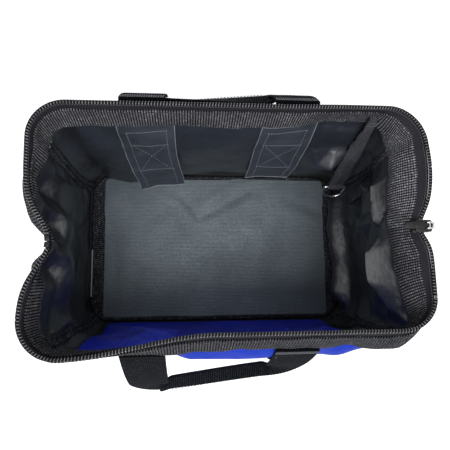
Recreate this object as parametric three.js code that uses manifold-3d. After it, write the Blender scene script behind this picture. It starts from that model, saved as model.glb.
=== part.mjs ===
// Zippered tool bag with an open wide mouth. Millimetres, +Z up, +X towards the zip slider's end,
// +Y towards the back. The origin is the middle of the underside.
import * as THREE from "three";
import { mergeVertices } from "three/addons/utils/BufferGeometryUtils.js";
import Module from "manifold-3d";

// Overall size of the bag and of its shell
const BAG_LENGTH = 330;
const BAG_WIDTH = 197;
const BAG_HEIGHT = 240; // to the top of the open zip
const CORNER_RADIUS = 30;
const FABRIC = 1.5; // coated polyester with its backing
const GAP = 0.3; // between pieces that touch
const JOIN = 0.2; // overlap where parts of one casting meet

// How the soft shell stands when it is open
const FRONT_BELLY = 16; // the front wall bows out at mid height
const BACK_SAG = 12; // the back wall hollows inwards
const RIGHT_END_SAG = 12; // the end walls fall inwards below the rim
const LEFT_END_SAG = 10;
const RIM_LEAN_HEIGHT = 35; // the top of the front wall leans over this height
const RIM_LEAN_MIDDLE = 10; // inwards, from the middle to the right
const RIM_FLARE_LEFT = 6.5; // outwards, at the left corner
const RIM_LEAN_RUN = 120; // length of the change from flare to lean
const SLIDER_Y = -3; // where the zip's two sides meet at the right end
const SLIDER_PINCH = 3;
const SLIDER_DIP = 11;
const SLIDER_PINCH_REACH = 16;
const LEFT_PINCH_Y = -14; // where the zip's two sides end at the left
const LEFT_PINCH = 18;
const LEFT_DIP = 8;
const LEFT_PINCH_REACH = 26;

// Bottom
const BOTTOM_SHEET = 1.5;
const BOTTOM_TURN_UP = 11; // height of the bottom panel's turned-up edge
const WALL_HINGE_HEIGHT = 12; // the walls fold along this line
const BOARD = 2.5;
const COVER = 1.5;
const COVER_BINDING = 2;
const BOARD_CLEARANCE = 2; // between the board and the bag's inside
const COVER_BINDING_END = 16; // width of the binding at the board's ends
const COVER_BINDING_FRONT = 8;
const COVER_BINDING_BACK = 5;

// Rim: band inside and outside, zip tape between them, coil on the tape's edge
const BAND = 1.3;
const BAND_WIDTH = 24;
const TAPE_SHOWS = 6; // tape above the band
const TAPE = 0.9;
const TAPE_SEAM = 8; // tape between the bands
const COIL_HEIGHT = 3.5;
const COIL_WIDTH = 3.4;
const TOP_STOP_LENGTH = 4;
const TOP_STOP_WIDTH = 4.4;

// Seam bindings, patches and handle legs
const BINDING = 1.2;
const BINDING_WIDTH = 14;
const BACK_BINDING_IN_CORNER = 10; // from the start of the corner to the middle of the binding
const PATCH = 1;
const PATCH_WIDTH = 52;
const PATCH_LENGTH = 144;
const WEBBING = 1.5;
const WEBBING_WIDTH = 38;
const LEG_FOOT = 16; // height at which the sewn legs start
const LEG_STEP = 5; // over which the back legs step out to pass over the band
const BACK_LEG_BELOW_ZIP = 4; // from the top of the zip down to the back handle's fold
const HANDLE_CENTRE_X = -9;
const HANDLE_SPACING = 131; // between the middles of its legs

// Handle loops: the drop is from the fold to the middle of the grip, and the angles are degrees
// below level where a loop leaves its fold and at the grip
const FRONT_DROP = 90;
const FRONT_START_ANGLE = 59;
const FRONT_END_ANGLE = 74;
const BACK_DROP = 62;
const BACK_START_ANGLE = 63;
const BACK_END_ANGLE = 77;
const HANDLE_BEND = 22;
const GRIP_WIDTH = 19; // webbing folded lengthwise
const GRIP_THICKNESS = 3.4;
const HANDLE_PIVOT_CLEARANCE = 1.2;

// Zip slider and puller
const SLIDER_LENGTH = 15;
const SLIDER_WIDTH = 11;
const SLIDER_PLATE = 1.5;
const SLIDER_CHANNEL = 4.6;
const SLIDER_SIDE_CLEARANCE = 0.9;
const SLIDER_OUTREACH = 9; // past the end of the rim
const EAR_WIDTH = 1.4;
const EAR_HEIGHT = 3.2;
const EAR_LENGTH = 3.6;
const EAR_OFFSET = 3.75; // from the slider's middle towards its closed end
const POST_LENGTH = 5; // wedge between the plates, at the end where the two sides part
const PIN_RADIUS = 0.8;
const PIN_RISE = 0.8; // above the middle of the ears
const PULLER_EYE_CLEARANCE = 0.35;
const PULLER_EYE_WALL = 0.7;
const PULLER_LENGTH = 22;
const PULLER_WIDTH = 6;
const PULLER_NECK = 2.6;
const PULLER_NECK_LENGTH = 3.6;
const PULLER_THICKNESS = 1.4;
const TAIL_WIDTH = 14;
const TAIL_LENGTH = 26;
const TAIL = 1.4;
const STOP_WIDTH = 6;
const STOP_HEIGHT = 5;
const STOP_THICKNESS = 1.4;
const STOP_DROP = 5; // below the top of the tail

// Hanging strap with its D-ring, in the back right corner
const STRAP = 2.4;
const STRAP_TOP_WIDTH = 8;
const STRAP_WIDTH = 20;
const STRAP_CROSSES = 60; // below the band, where the strap has moved across to its loop
const STRAP_WIDENS = 75; // length over which it opens to its full width
const STRAP_TOP_FROM_END = 36; // from the bag's right end to the middle of the strap
const STRAP_LOOP_FROM_END = 24;
const STRAP_LOOP_FROM_BACK = 32.5;
const STRAP_LOOP_HEIGHT = 76; // above the ground
const RING_WIRE = 1.6; // radius
const RING_HALF_WIDTH = 13;
const RING_CORNER = 3;
const RING_DEPTH = 18;
const RING_LOOP_CLEARANCE = 0.6;
const LOOP_WALL = 1.5;

// What follows from the sizes above
const HALF_LENGTH = BAG_LENGTH / 2;
const HALF_WIDTH = BAG_WIDTH / 2;
const WALL_HALF = HALF_LENGTH - CORNER_RADIUS;
const END_HALF = HALF_WIDTH - CORNER_RADIUS;
const QUARTER_ARC = (Math.PI / 2) * CORNER_RADIUS;
const CORNER_END = WALL_HALF + QUARTER_ARC;
const BACK_CORNER = CORNER_END + 2 * END_HALF;
const BACK_WALL = BACK_CORNER + QUARTER_ARC;
const HALF_GIRTH = BACK_WALL + WALL_HALF;
const COIL_BOTTOM = BAG_HEIGHT - COIL_HEIGHT;
const TAPE_TOP = COIL_BOTTOM - GAP;
const BAND_TOP = TAPE_TOP - TAPE_SHOWS;
const BAND_BOTTOM = BAND_TOP - BAND_WIDTH;
const PANEL_TOP = BAND_TOP - TAPE_SEAM;
const TAPE_BOTTOM = PANEL_TOP + GAP;
const WALL_BOTTOM = WALL_HINGE_HEIGHT + GAP;
const END_BOTTOM = BOTTOM_TURN_UP + GAP;
const INNER_FACE = FABRIC + GAP; // where anything sewn to the inside starts
const OUTER_FACE = -GAP; // where anything sewn to the outside ends
const OVER_BAND_FACE = OUTER_FACE - BAND - GAP;
const WALL_FOLD_LEVEL = BAND_BOTTOM - GAP;
const BACK_LEG_TOP = BAG_HEIGHT - BACK_LEG_BELOW_ZIP;
const MID_FABRIC = FABRIC / 2;
const HANDLE_HALF = HANDLE_SPACING / 2;
const STRAP_TOP_X = HALF_LENGTH - STRAP_TOP_FROM_END;
const STRAP_LOOP_X = HALF_LENGTH - STRAP_LOOP_FROM_END;
const STRAP_LOOP_Y = HALF_WIDTH - STRAP_LOOP_FROM_BACK;
const FALL_SCALE = 256 / 27; // brings the peak of rise ** 3 * (1 - rise) to 1

const clamp = (t) => Math.min(1, Math.max(0, t));
const ease = (t) => clamp(t) ** 2 * (3 - 2 * clamp(t));
const bell = (t) => Math.exp(-t * t);
const radians = THREE.MathUtils.degToRad;

// The plan of the shell's outer face, walked anticlockwise from the middle of the front: the point
// at a distance along it and the unit direction into the bag.
function outline(distance) {
  let s = distance;
  if (s > HALF_GIRTH) s -= 2 * HALF_GIRTH;
  const side = s < 0 ? -1 : 1;
  s = Math.abs(s);
  let x, y, inX, inY;
  if (s <= WALL_HALF) {
    [x, y, inX, inY] = [s, -HALF_WIDTH, 0, 1];
  } else if (s <= CORNER_END) {
    const a = (s - WALL_HALF) / CORNER_RADIUS;
    x = WALL_HALF + CORNER_RADIUS * Math.sin(a);
    y = -END_HALF - CORNER_RADIUS * Math.cos(a);
    [inX, inY] = [-Math.sin(a), Math.cos(a)];
  } else if (s <= BACK_CORNER) {
    [x, y, inX, inY] = [HALF_LENGTH, s - CORNER_END - END_HALF, -1, 0];
  } else if (s <= BACK_WALL) {
    const a = (s - BACK_CORNER) / CORNER_RADIUS;
    x = WALL_HALF + CORNER_RADIUS * Math.cos(a);
    y = END_HALF + CORNER_RADIUS * Math.sin(a);
    [inX, inY] = [-Math.cos(a), -Math.sin(a)];
  } else {
    [x, y, inX, inY] = [WALL_HALF - (s - BACK_WALL), HALF_WIDTH, 0, -1];
  }
  return { x: side * x, y, inX: side * inX, inY };
}

// Where a point of the straight-sided bag goes in the soft one that stands open.
function soften(x, y, z) {
  const rise = clamp((z - WALL_HINGE_HEIGHT) / (BAG_HEIGHT - WALL_HINGE_HEIGHT));
  const side = y / HALF_WIDTH;
  const end = ease((Math.abs(x) - WALL_HALF) / CORNER_RADIUS);
  const bow = Math.sin(Math.PI * rise);
  const lean = ease((z - BAG_HEIGHT + RIM_LEAN_HEIGHT) / RIM_LEAN_HEIGHT);
  const along = ease((x + WALL_HALF) / RIM_LEAN_RUN);
  const rimShift = along * (RIM_LEAN_MIDDLE + RIM_FLARE_LEFT) - RIM_FLARE_LEFT;
  const front = -FRONT_BELLY * bow + rimShift * lean;
  const back = -BACK_SAG * bow;
  const fall = FALL_SCALE * rise ** 3 * (1 - rise) * (1 - side * side) * end;
  const rim = rise ** 4 * end;
  let dx, dz;
  if (x > 0) {
    const pinch = bell((y - SLIDER_Y) / SLIDER_PINCH_REACH) * rim;
    dx = -RIGHT_END_SAG * fall - SLIDER_PINCH * pinch;
    dz = -SLIDER_DIP * pinch;
  } else {
    const pinch = bell((y - LEFT_PINCH_Y) / LEFT_PINCH_REACH) * rim;
    dx = LEFT_END_SAG * fall + LEFT_PINCH * pinch;
    dz = -LEFT_DIP * pinch;
  }
  return new THREE.Vector3(x + dx, y + (y < 0 ? -side * front : side * back), z + dz);
}

// A point of the soft shell: along its girth, at a height, and this far in from its outer face.
function shellPoint(s, z, depth) {
  const p = outline(s);
  return soften(p.x + p.inX * depth, p.y + p.inY * depth, z);
}

const evenly = (from, to, count) =>
  Array.from({ length: count + 1 }, (_, i) => from + ((to - from) * i) / count);

// Where the shell's pieces may be cut along the girth, so that layers bend at the same places
const SLIDER_S = CORNER_END + END_HALF + SLIDER_Y;
const SLIDER_HALF = SLIDER_WIDTH / 2 + SLIDER_SIDE_CLEARANCE;
const LEFT_STOP_S = CORNER_END + END_HALF + LEFT_PINCH_Y;
const WALL_STEPS = 8;
const ARC_STEPS = 3;
const END_STEPS = 8;
const FRONT_BINDING_S = WALL_HALF + QUARTER_ARC / 2;
const BACK_BINDING_S = BACK_CORNER + BACK_BINDING_IN_CORNER;
const END_CUTS = [
  ...evenly(WALL_HALF + GAP / 2, CORNER_END, ARC_STEPS),
  ...evenly(CORNER_END, BACK_CORNER, END_STEPS),
  ...evenly(BACK_CORNER, BACK_WALL - GAP / 2, ARC_STEPS),
  ...[FRONT_BINDING_S, BACK_BINDING_S].flatMap((s) => [s - BINDING_WIDTH / 2, s + BINDING_WIDTH / 2]),
];
const SPANS = {
  front: evenly(-WALL_HALF + GAP / 2, WALL_HALF - GAP / 2, WALL_STEPS),
  right: [
    ...END_CUTS,
    SLIDER_S - SLIDER_HALF,
    SLIDER_S + SLIDER_HALF,
    SLIDER_S - TAIL_WIDTH / 2,
    SLIDER_S + TAIL_WIDTH / 2,
  ],
  back: evenly(BACK_WALL + GAP / 2, BACK_WALL + 2 * WALL_HALF - GAP / 2, WALL_STEPS),
  left: [
    ...END_CUTS,
    LEFT_STOP_S,
    LEFT_STOP_S - GAP,
    LEFT_STOP_S + GAP,
    LEFT_STOP_S - GAP - TOP_STOP_LENGTH,
    LEFT_STOP_S + GAP + TOP_STOP_LENGTH,
    LEFT_STOP_S - 2 * GAP - TOP_STOP_LENGTH,
    LEFT_STOP_S + 2 * GAP + TOP_STOP_LENGTH,
  ].map((s) => -s),
};
const LEVEL_STEP = 28;
const LEVELS = [
  ...evenly(WALL_BOTTOM, BAND_BOTTOM, Math.round((BAND_BOTTOM - WALL_BOTTOM) / LEVEL_STEP)),
  (BAND_BOTTOM + PANEL_TOP) / 2,
  PANEL_TOP,
  BAND_TOP,
];

const LEAST_STEP = 0.2;
// The cuts of a list that lie between two values, with those values as ends
function between(cuts, from, to) {
  const inside = cuts
    .filter((c) => c > from + LEAST_STEP && c < to - LEAST_STEP)
    .sort((a, b) => a - b);
  const kept = inside.filter((c, i) => i === 0 || c - inside[i - 1] > LEAST_STEP);
  return [from, ...kept, to];
}

const materials = {};
function material(name, color, roughness, metalness = 0) {
  materials[name] = { color, roughness, metalness };
}
material("black_shell", 0x23262c, 0.55);
material("blue_shell", 0x1430c8, 0.45);
material("webbing", 0x2b2b2d, 0.85);
material("zip_tape", 0x1c1c1e, 0.9);
material("zip_coil", 0x8b8f92, 0.35, 0.2);
material("cover_fabric", 0x4a5558, 0.9);
material("board", 0x1b1b1b, 0.8);
material("vinyl", 0x2a2e36, 0.5);
material("metal", 0xc4c8cc, 0.25, 1);

const bag = new THREE.Group();
const bodies = {};
const BODY_NAMES = [
  "base",
  "front_wall",
  "back_wall",
  "handle_front",
  "handle_back",
  "zip_slider",
  "zip_puller",
  "ring_strap",
  "d_ring",
];
for (const name of BODY_NAMES) {
  bodies[name] = new THREE.Group();
  bag.add(bodies[name]);
}

function addPiece(body, name, finish, geometry) {
  const mesh = new THREE.Mesh(geometry, new THREE.MeshStandardMaterial(materials[finish]));
  mesh.name = name;
  bodies[body].add(mesh);
  return mesh;
}

// A closed block of cells whose corners are placed by a function of three indices: along, across
// the thickness (0 or 1) and up. Both large faces split their quads the same way, so that layers
// laid on each other stay parallel.
function placedBlock(alongCells, upCells, place) {
  const points = [];
  const index = [];
  const corner = (i, j, k) => (i * 2 + j) * (upCells + 1) + k;
  for (let i = 0; i <= alongCells; i++) {
    for (const j of [0, 1]) {
      for (let k = 0; k <= upCells; k++) points.push(...place(i, j, k).toArray());
    }
  }
  const quad = (a, b, c, d) => index.push(a, b, c, a, c, d);
  for (let i = 0; i < alongCells; i++) {
    for (let k = 0; k < upCells; k++) {
      const [a, b] = [corner(i, 0, k), corner(i + 1, 0, k)];
      const [c, d] = [corner(i + 1, 0, k + 1), corner(i, 0, k + 1)];
      const step = upCells + 1; // from one face to the other
      quad(a, b, c, d);
      index.push(a + step, c + step, b + step, a + step, d + step, c + step);
    }
    quad(corner(i, 0, 0), corner(i, 1, 0), corner(i + 1, 1, 0), corner(i + 1, 0, 0));
    const top = [corner(i, 0, upCells), corner(i + 1, 0, upCells)];
    quad(...top, corner(i + 1, 1, upCells), corner(i, 1, upCells));
  }
  for (let k = 0; k < upCells; k++) {
    quad(corner(0, 0, k), corner(0, 0, k + 1), corner(0, 1, k + 1), corner(0, 1, k));
    const [a, d] = [corner(alongCells, 0, k), corner(alongCells, 0, k + 1)];
    quad(a, corner(alongCells, 1, k), corner(alongCells, 1, k + 1), d);
  }
  const geometry = new THREE.BufferGeometry();
  geometry.setAttribute("position", new THREE.Float32BufferAttribute(points, 3));
  geometry.setIndex(index);
  geometry.computeVertexNormals();
  return geometry;
}

// A sheet that follows the soft shell between two depths
function shellSheet(cuts, levels, outerDepth, innerDepth) {
  return placedBlock(cuts.length - 1, levels.length - 1, (i, j, k) =>
    shellPoint(cuts[i], levels[k], j ? innerDepth : outerDepth),
  );
}

// Shell panels, rim bands, zip tape and coil round the whole mouth
const wasm = await Module();
wasm.setup();

const SHELL_SPANS = [
  { name: "front", body: "front_wall", fabric: "blue_shell", cuts: SPANS.front },
  { name: "right_end", body: "base", fabric: "black_shell", cuts: SPANS.right },
  { name: "back", body: "back_wall", fabric: "black_shell", cuts: SPANS.back },
  { name: "left_end", body: "base", fabric: "black_shell", cuts: SPANS.left },
];

function spanRange(cuts) {
  return [Math.min(...cuts), Math.max(...cuts)];
}

for (const { name, body, fabric, cuts } of SHELL_SPANS) {
  const [from, to] = spanRange(cuts);
  const along = between(cuts, from, to);
  const bottom = body === "base" ? END_BOTTOM : WALL_BOTTOM;
  const panelLevels = between(LEVELS, bottom, PANEL_TOP);
  addPiece(body, name + "_panel", fabric, shellSheet(along, panelLevels, 0, FABRIC));
  const bandLevels = between(LEVELS, BAND_BOTTOM, BAND_TOP);
  const inner = shellSheet(along, bandLevels, INNER_FACE, INNER_FACE + BAND);
  addPiece(body, name + "_inner_band", "webbing", inner);
  const outer = shellSheet(along, bandLevels, OUTER_FACE - BAND, OUTER_FACE);
  addPiece(body, name + "_outer_band", "webbing", outer);
}

// The zip's two sides: each is one piece on its wall and runs on round half of each end
const [rightFrom, rightTo] = spanRange(SPANS.right);
const [leftFrom, leftTo] = spanRange(SPANS.left);
const [frontFrom, frontTo] = spanRange(SPANS.front);
const [backFrom, backTo] = spanRange(SPANS.back);
const STOP_END = GAP + TOP_STOP_LENGTH + GAP;
const ZIP_SPANS = [
  { name: "front", body: "front_wall", cuts: SPANS.front, from: frontFrom, to: frontTo },
  { name: "back", body: "back_wall", cuts: SPANS.back, from: backFrom, to: backTo },
  {
    name: "front_right",
    body: "base",
    cuts: SPANS.right,
    from: rightFrom,
    to: SLIDER_S - SLIDER_HALF,
  },
  {
    name: "back_right",
    body: "base",
    cuts: SPANS.right,
    from: SLIDER_S + SLIDER_HALF,
    to: rightTo,
  },
  { name: "front_left", body: "base", cuts: SPANS.left, from: -LEFT_STOP_S, to: leftTo, stop: 1 },
  { name: "back_left", body: "base", cuts: SPANS.left, from: leftFrom, to: -LEFT_STOP_S, stop: -1 },
];
// A sheet of this thickness about the middle of the shell's fabric
function middleSheet(cuts, levels, thickness) {
  return shellSheet(cuts, levels, MID_FABRIC - thickness / 2, MID_FABRIC + thickness / 2);
}

for (const { name, body, cuts, from, to, stop } of ZIP_SPANS) {
  const tapeFrom = stop === 1 ? from + GAP : from;
  const tapeTo = stop === -1 ? to - GAP : to;
  const tapeLevels = between(LEVELS, TAPE_BOTTOM, TAPE_TOP);
  const tape = middleSheet(between(cuts, tapeFrom, tapeTo), tapeLevels, TAPE);
  addPiece(body, name + "_zip_tape", "zip_tape", tape);
  const coilFrom = stop === 1 ? from + STOP_END : from;
  const coilTo = stop === -1 ? to - STOP_END : to;
  const coilLevels = [COIL_BOTTOM, BAG_HEIGHT];
  const coil = middleSheet(between(cuts, coilFrom, coilTo), coilLevels, COIL_WIDTH);
  addPiece(body, name + "_zip_coil", "zip_coil", coil);
  if (stop) {
    const stopFrom = stop === 1 ? from + GAP : to - GAP - TOP_STOP_LENGTH;
    const stopCuts = between(cuts, stopFrom, stopFrom + TOP_STOP_LENGTH);
    const clip = middleSheet(stopCuts, coilLevels, TOP_STOP_WIDTH);
    addPiece(body, name.replace("_left", "") + "_top_stop", "metal", clip);
  }
}

// Bindings over the four upright seams, inside
const SEAM_BINDINGS = [
  { name: "front_right", cuts: SPANS.right, middle: FRONT_BINDING_S },
  { name: "back_right", cuts: SPANS.right, middle: BACK_BINDING_S },
  { name: "front_left", cuts: SPANS.left, middle: -FRONT_BINDING_S },
  { name: "back_left", cuts: SPANS.left, middle: -BACK_BINDING_S },
];
for (const { name, cuts, middle } of SEAM_BINDINGS) {
  const levels = between(LEVELS, WALL_BOTTOM, WALL_FOLD_LEVEL);
  const across = between(cuts, middle - BINDING_WIDTH / 2, middle + BINDING_WIDTH / 2);
  const strip = shellSheet(across, levels, INNER_FACE, INNER_FACE + BINDING);
  addPiece("base", name + "_seam_binding", "webbing", strip);
}

// Handle legs sewn to the outside and patches sewn to the inside of both walls
const WALLS = [
  {
    name: "front",
    sign: -1,
    body: "front_wall",
    cuts: SPANS.front,
    patch: "blue_shell",
    fold: WALL_FOLD_LEVEL,
    foldFace: OUTER_FACE,
    drop: FRONT_DROP,
    angles: [FRONT_START_ANGLE, FRONT_END_ANGLE],
  },
  {
    name: "back",
    sign: 1,
    body: "back_wall",
    cuts: SPANS.back,
    patch: "vinyl",
    fold: BACK_LEG_TOP,
    foldFace: OVER_BAND_FACE,
    drop: BACK_DROP,
    angles: [BACK_START_ANGLE, BACK_END_ANGLE],
  },
];
const LEG_LEVELS = [...LEVELS, WALL_FOLD_LEVEL - LEG_STEP, WALL_FOLD_LEVEL];
const overBand = (z) => clamp((z - WALL_FOLD_LEVEL + LEG_STEP) / LEG_STEP);
const alongWall = (sign, x) => (sign < 0 ? x : BACK_WALL + WALL_HALF - x);
for (const { name, sign, body, cuts, patch, fold, foldFace } of WALLS) {
  const face = (z) => THREE.MathUtils.lerp(OUTER_FACE, foldFace, overBand(z));
  for (const [sideName, side] of [["left", -1], ["right", 1]]) {
    const middle = alongWall(sign, HANDLE_CENTRE_X + side * HANDLE_HALF);
    const legCuts = between(cuts, middle - WEBBING_WIDTH / 2, middle + WEBBING_WIDTH / 2);
    const legLevels = between(LEG_LEVELS, LEG_FOOT, fold);
    const leg = placedBlock(legCuts.length - 1, legLevels.length - 1, (i, j, k) => {
      const z = legLevels[k];
      return shellPoint(legCuts[i], z, face(z) - (j ? 0 : WEBBING));
    });
    addPiece(body, name + "_" + sideName + "_handle_leg", "webbing", leg);
    const patchCuts = between(cuts, middle - PATCH_WIDTH / 2, middle + PATCH_WIDTH / 2);
    const patchLevels = between(LEVELS, WALL_FOLD_LEVEL - PATCH_LENGTH, WALL_FOLD_LEVEL);
    const sheet = shellSheet(patchCuts, patchLevels, INNER_FACE, INNER_FACE + PATCH);
    addPiece(body, name + "_" + sideName + "_patch", patch, sheet);
  }
}

// Handle loops. A loop lies in a surface that starts at the fold and curves down: x along the bag,
// q the distance from the fold.
const DROP_STEPS = 40;
const LEG_STATIONS = 4;
const BEND_STATIONS = 5;
function dropCurve(q, drop, [startAngle, endAngle]) {
  const angleAt = (r) => radians(startAngle + (endAngle - startAngle) * clamp(r / drop));
  let out = 0;
  let down = 0;
  for (let i = 0; i < DROP_STEPS; i++) {
    const angle = angleAt(((i + 0.5) / DROP_STEPS) * q);
    out += (Math.cos(angle) * q) / DROP_STEPS;
    down += (Math.sin(angle) * q) / DROP_STEPS;
  }
  return { out, down, angle: angleAt(q) };
}

// Stations along a handle loop: middle, direction of travel and size of the webbing's section
function handleStations(drop) {
  const legMiddle = -HANDLE_HALF;
  const straight = drop - HANDLE_BEND;
  const legs = evenly(0, straight, LEG_STATIONS).map((q) => ({ x: legMiddle, q, turn: 0, share: 0 }));
  const bend = evenly(0, 1, BEND_STATIONS).slice(1).map((share) => {
    const a = (share * Math.PI) / 2;
    const x = legMiddle + HANDLE_BEND * (1 - Math.cos(a));
    return { x, q: straight + HANDLE_BEND * Math.sin(a), turn: a, share };
  });
  const left = [...legs, ...bend];
  const right = left.map((p) => ({ ...p, x: -p.x, turn: Math.PI - p.turn })).reverse();
  const grip = { x: 0, q: drop, turn: Math.PI / 2, share: 1 };
  return [...left, grip, ...right];
}

for (const { name, sign, fold, foldFace, drop, angles } of WALLS) {
  const legFace = shellPoint(alongWall(sign, 0), fold, foldFace - WEBBING).y;
  const pivotY = legFace + sign * HANDLE_PIVOT_CLEARANCE;
  const stations = handleStations(drop);
  const loop = placedBlock(stations.length - 1, 1, (i, j, k) => {
    const { x, q, turn, share } = stations[i];
    const width = THREE.MathUtils.lerp(WEBBING_WIDTH, GRIP_WIDTH, ease(share));
    const thickness = THREE.MathUtils.lerp(WEBBING, GRIP_THICKNESS, ease(share));
    const across = (k - 0.5) * width;
    const at = dropCurve(q - across * Math.sin(turn), drop, angles);
    const lift = (j - 0.5) * thickness;
    const out = at.out - lift * Math.sin(at.angle);
    const down = at.down + lift * Math.cos(at.angle);
    const px = HANDLE_CENTRE_X + x + across * Math.cos(turn);
    return new THREE.Vector3(px, pivotY + sign * out, fold - down);
  });
  if (sign > 0) turnFacesRound(loop);
  addPiece("handle_" + name, name + "_handle_loop", "webbing", loop);
}

// Turns a closed surface inside out, for one that was placed by a mirrored rule
function turnFacesRound(geometry) {
  const index = geometry.getIndex();
  for (let f = 0; f < index.count; f += 3) {
    const kept = index.getX(f);
    index.setX(f, index.getX(f + 2));
    index.setX(f + 2, kept);
  }
  geometry.computeVertexNormals();
}

// Solids that need a cut or a join
const MERGE_DISTANCE = 1e-4;
const ROUND_SIDES = 20;
function toSolid(geometry) {
  const plain = geometry.clone();
  plain.deleteAttribute("uv");
  plain.deleteAttribute("normal");
  const merged = mergeVertices(plain, MERGE_DISTANCE);
  return new wasm.Manifold(
    new wasm.Mesh({
      numProp: 3,
      vertProperties: merged.getAttribute("position").array,
      triVerts: new Uint32Array(merged.getIndex().array),
    }),
  );
}
function fromSolid(solid) {
  const mesh = solid.getMesh();
  const geometry = new THREE.BufferGeometry();
  geometry.setAttribute("position", new THREE.BufferAttribute(mesh.vertProperties, 3));
  geometry.setIndex(new THREE.BufferAttribute(mesh.triVerts, 1));
  geometry.computeVertexNormals();
  return geometry;
}
function block(x, y, z, dx, dy, dz) {
  return toSolid(new THREE.BoxGeometry(dx, dy, dz).translate(x, y, z));
}
function rodAlongY(x, y, z, radius, length) {
  const rod = new THREE.CylinderGeometry(radius, radius, length, ROUND_SIDES);
  return toSolid(rod.translate(x, y, z));
}

// A flat slab with the bag's rounded plan, drawn in from the shell's outer face
const PLAN_ARC_POINTS = 4;
const LEAST_RADIUS = 4;
function planSlab(inX, inFront, inBack, bottom, top) {
  const radius = Math.max(CORNER_RADIUS - inX, LEAST_RADIUS);
  const [x0, x1] = [-HALF_LENGTH + inX, HALF_LENGTH - inX];
  const [y0, y1] = [-HALF_WIDTH + inFront, HALF_WIDTH - inBack];
  const plan = new THREE.Shape();
  plan.absarc(x1 - radius, y0 + radius, radius, -Math.PI / 2, 0);
  plan.absarc(x1 - radius, y1 - radius, radius, 0, Math.PI / 2);
  plan.absarc(x0 + radius, y1 - radius, radius, Math.PI / 2, Math.PI);
  plan.absarc(x0 + radius, y0 + radius, radius, Math.PI, 1.5 * Math.PI);
  const slab = new THREE.ExtrudeGeometry(plan, {
    depth: top - bottom,
    bevelEnabled: false,
    curveSegments: PLAN_ARC_POINTS,
  });
  return slab.translate(0, 0, bottom);
}

// Bottom panel with its edge turned up all round
const tray = toSolid(planSlab(0, 0, 0, 0, BOTTOM_TURN_UP)).subtract(
  toSolid(planSlab(FABRIC, FABRIC, FABRIC, BOTTOM_SHEET, BAG_HEIGHT)),
);
addPiece("base", "bottom_panel", "black_shell", fromSolid(tray));

// Stiffener board, its cover and the binding round the cover
const boardIn = FABRIC + BOARD_CLEARANCE;
const boardBottom = BOTTOM_SHEET + GAP;
const coverBottom = boardBottom + BOARD + GAP;
addPiece(
  "base",
  "stiffener_board",
  "board",
  planSlab(boardIn, boardIn, boardIn, boardBottom, boardBottom + BOARD),
);
const coverIn = [
  boardIn + COVER_BINDING_END,
  boardIn + COVER_BINDING_FRONT,
  boardIn + COVER_BINDING_BACK,
];
addPiece(
  "base",
  "floor_cover",
  "cover_fabric",
  planSlab(...coverIn, coverBottom, coverBottom + COVER),
);
const openingIn = coverIn.map((d) => d - GAP);
const binding = toSolid(
  planSlab(boardIn, boardIn, boardIn, coverBottom, coverBottom + COVER_BINDING),
).subtract(toSolid(planSlab(...openingIn, 0, BAG_HEIGHT)));
addPiece("base", "floor_binding", "webbing", fromSolid(binding));

// Zip slider at the right end, open towards the left, with the puller's pin on top
const rimAtSlider = soften(HALF_LENGTH - MID_FABRIC, SLIDER_Y, BAG_HEIGHT - COIL_HEIGHT / 2);
const sliderX = rimAtSlider.x + SLIDER_OUTREACH - SLIDER_LENGTH / 2;
const sliderY = rimAtSlider.y;
const sliderZ = rimAtSlider.z;
const plateRise = (SLIDER_CHANNEL + SLIDER_PLATE) / 2;
const plate = (z) => block(sliderX, sliderY, z, SLIDER_LENGTH, SLIDER_WIDTH, SLIDER_PLATE);
const postX = sliderX - SLIDER_LENGTH / 2 + POST_LENGTH / 2;
const post = block(postX, sliderY, sliderZ, POST_LENGTH, PULLER_NECK, SLIDER_CHANNEL + JOIN);
const earX = sliderX + EAR_OFFSET;
const earY = PULLER_NECK / 2 + GAP + EAR_WIDTH / 2;
const earZ = sliderZ + plateRise + SLIDER_PLATE / 2 + EAR_HEIGHT / 2;
const ear = (side) =>
  block(earX, sliderY + side * earY, earZ - JOIN / 2, EAR_LENGTH, EAR_WIDTH, EAR_HEIGHT + JOIN);
const pinZ = earZ + PIN_RISE;
const slider = plate(sliderZ + plateRise)
  .add(plate(sliderZ - plateRise))
  .add(post)
  .add(ear(-1))
  .add(ear(1))
  .add(rodAlongY(earX, sliderY, pinZ, PIN_RADIUS, 2 * earY + EAR_WIDTH));
addPiece("zip_slider", "zip_slider", "metal", fromSolid(slider));

// Puller, lying inwards: an eye round the slider's pin, a neck and a flat tab
const eyeHole = PIN_RADIUS + PULLER_EYE_CLEARANCE;
const neckStart = earX - eyeHole;
const tabStart = neckStart - PULLER_NECK_LENGTH + JOIN;
const tabEnd = earX - PULLER_LENGTH;
const pullerBar = (from, to, width) =>
  block((from + to) / 2, sliderY, pinZ, from - to, width, PULLER_THICKNESS);
const puller = rodAlongY(earX, sliderY, pinZ, eyeHole + PULLER_EYE_WALL, PULLER_NECK)
  .add(pullerBar(neckStart, neckStart - PULLER_NECK_LENGTH, PULLER_NECK))
  .add(pullerBar(tabStart, tabEnd, PULLER_WIDTH))
  .subtract(rodAlongY(earX, sliderY, pinZ, eyeHole, 2 * PULLER_NECK));
addPiece("zip_puller", "zip_puller", "metal", fromSolid(puller));

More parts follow.
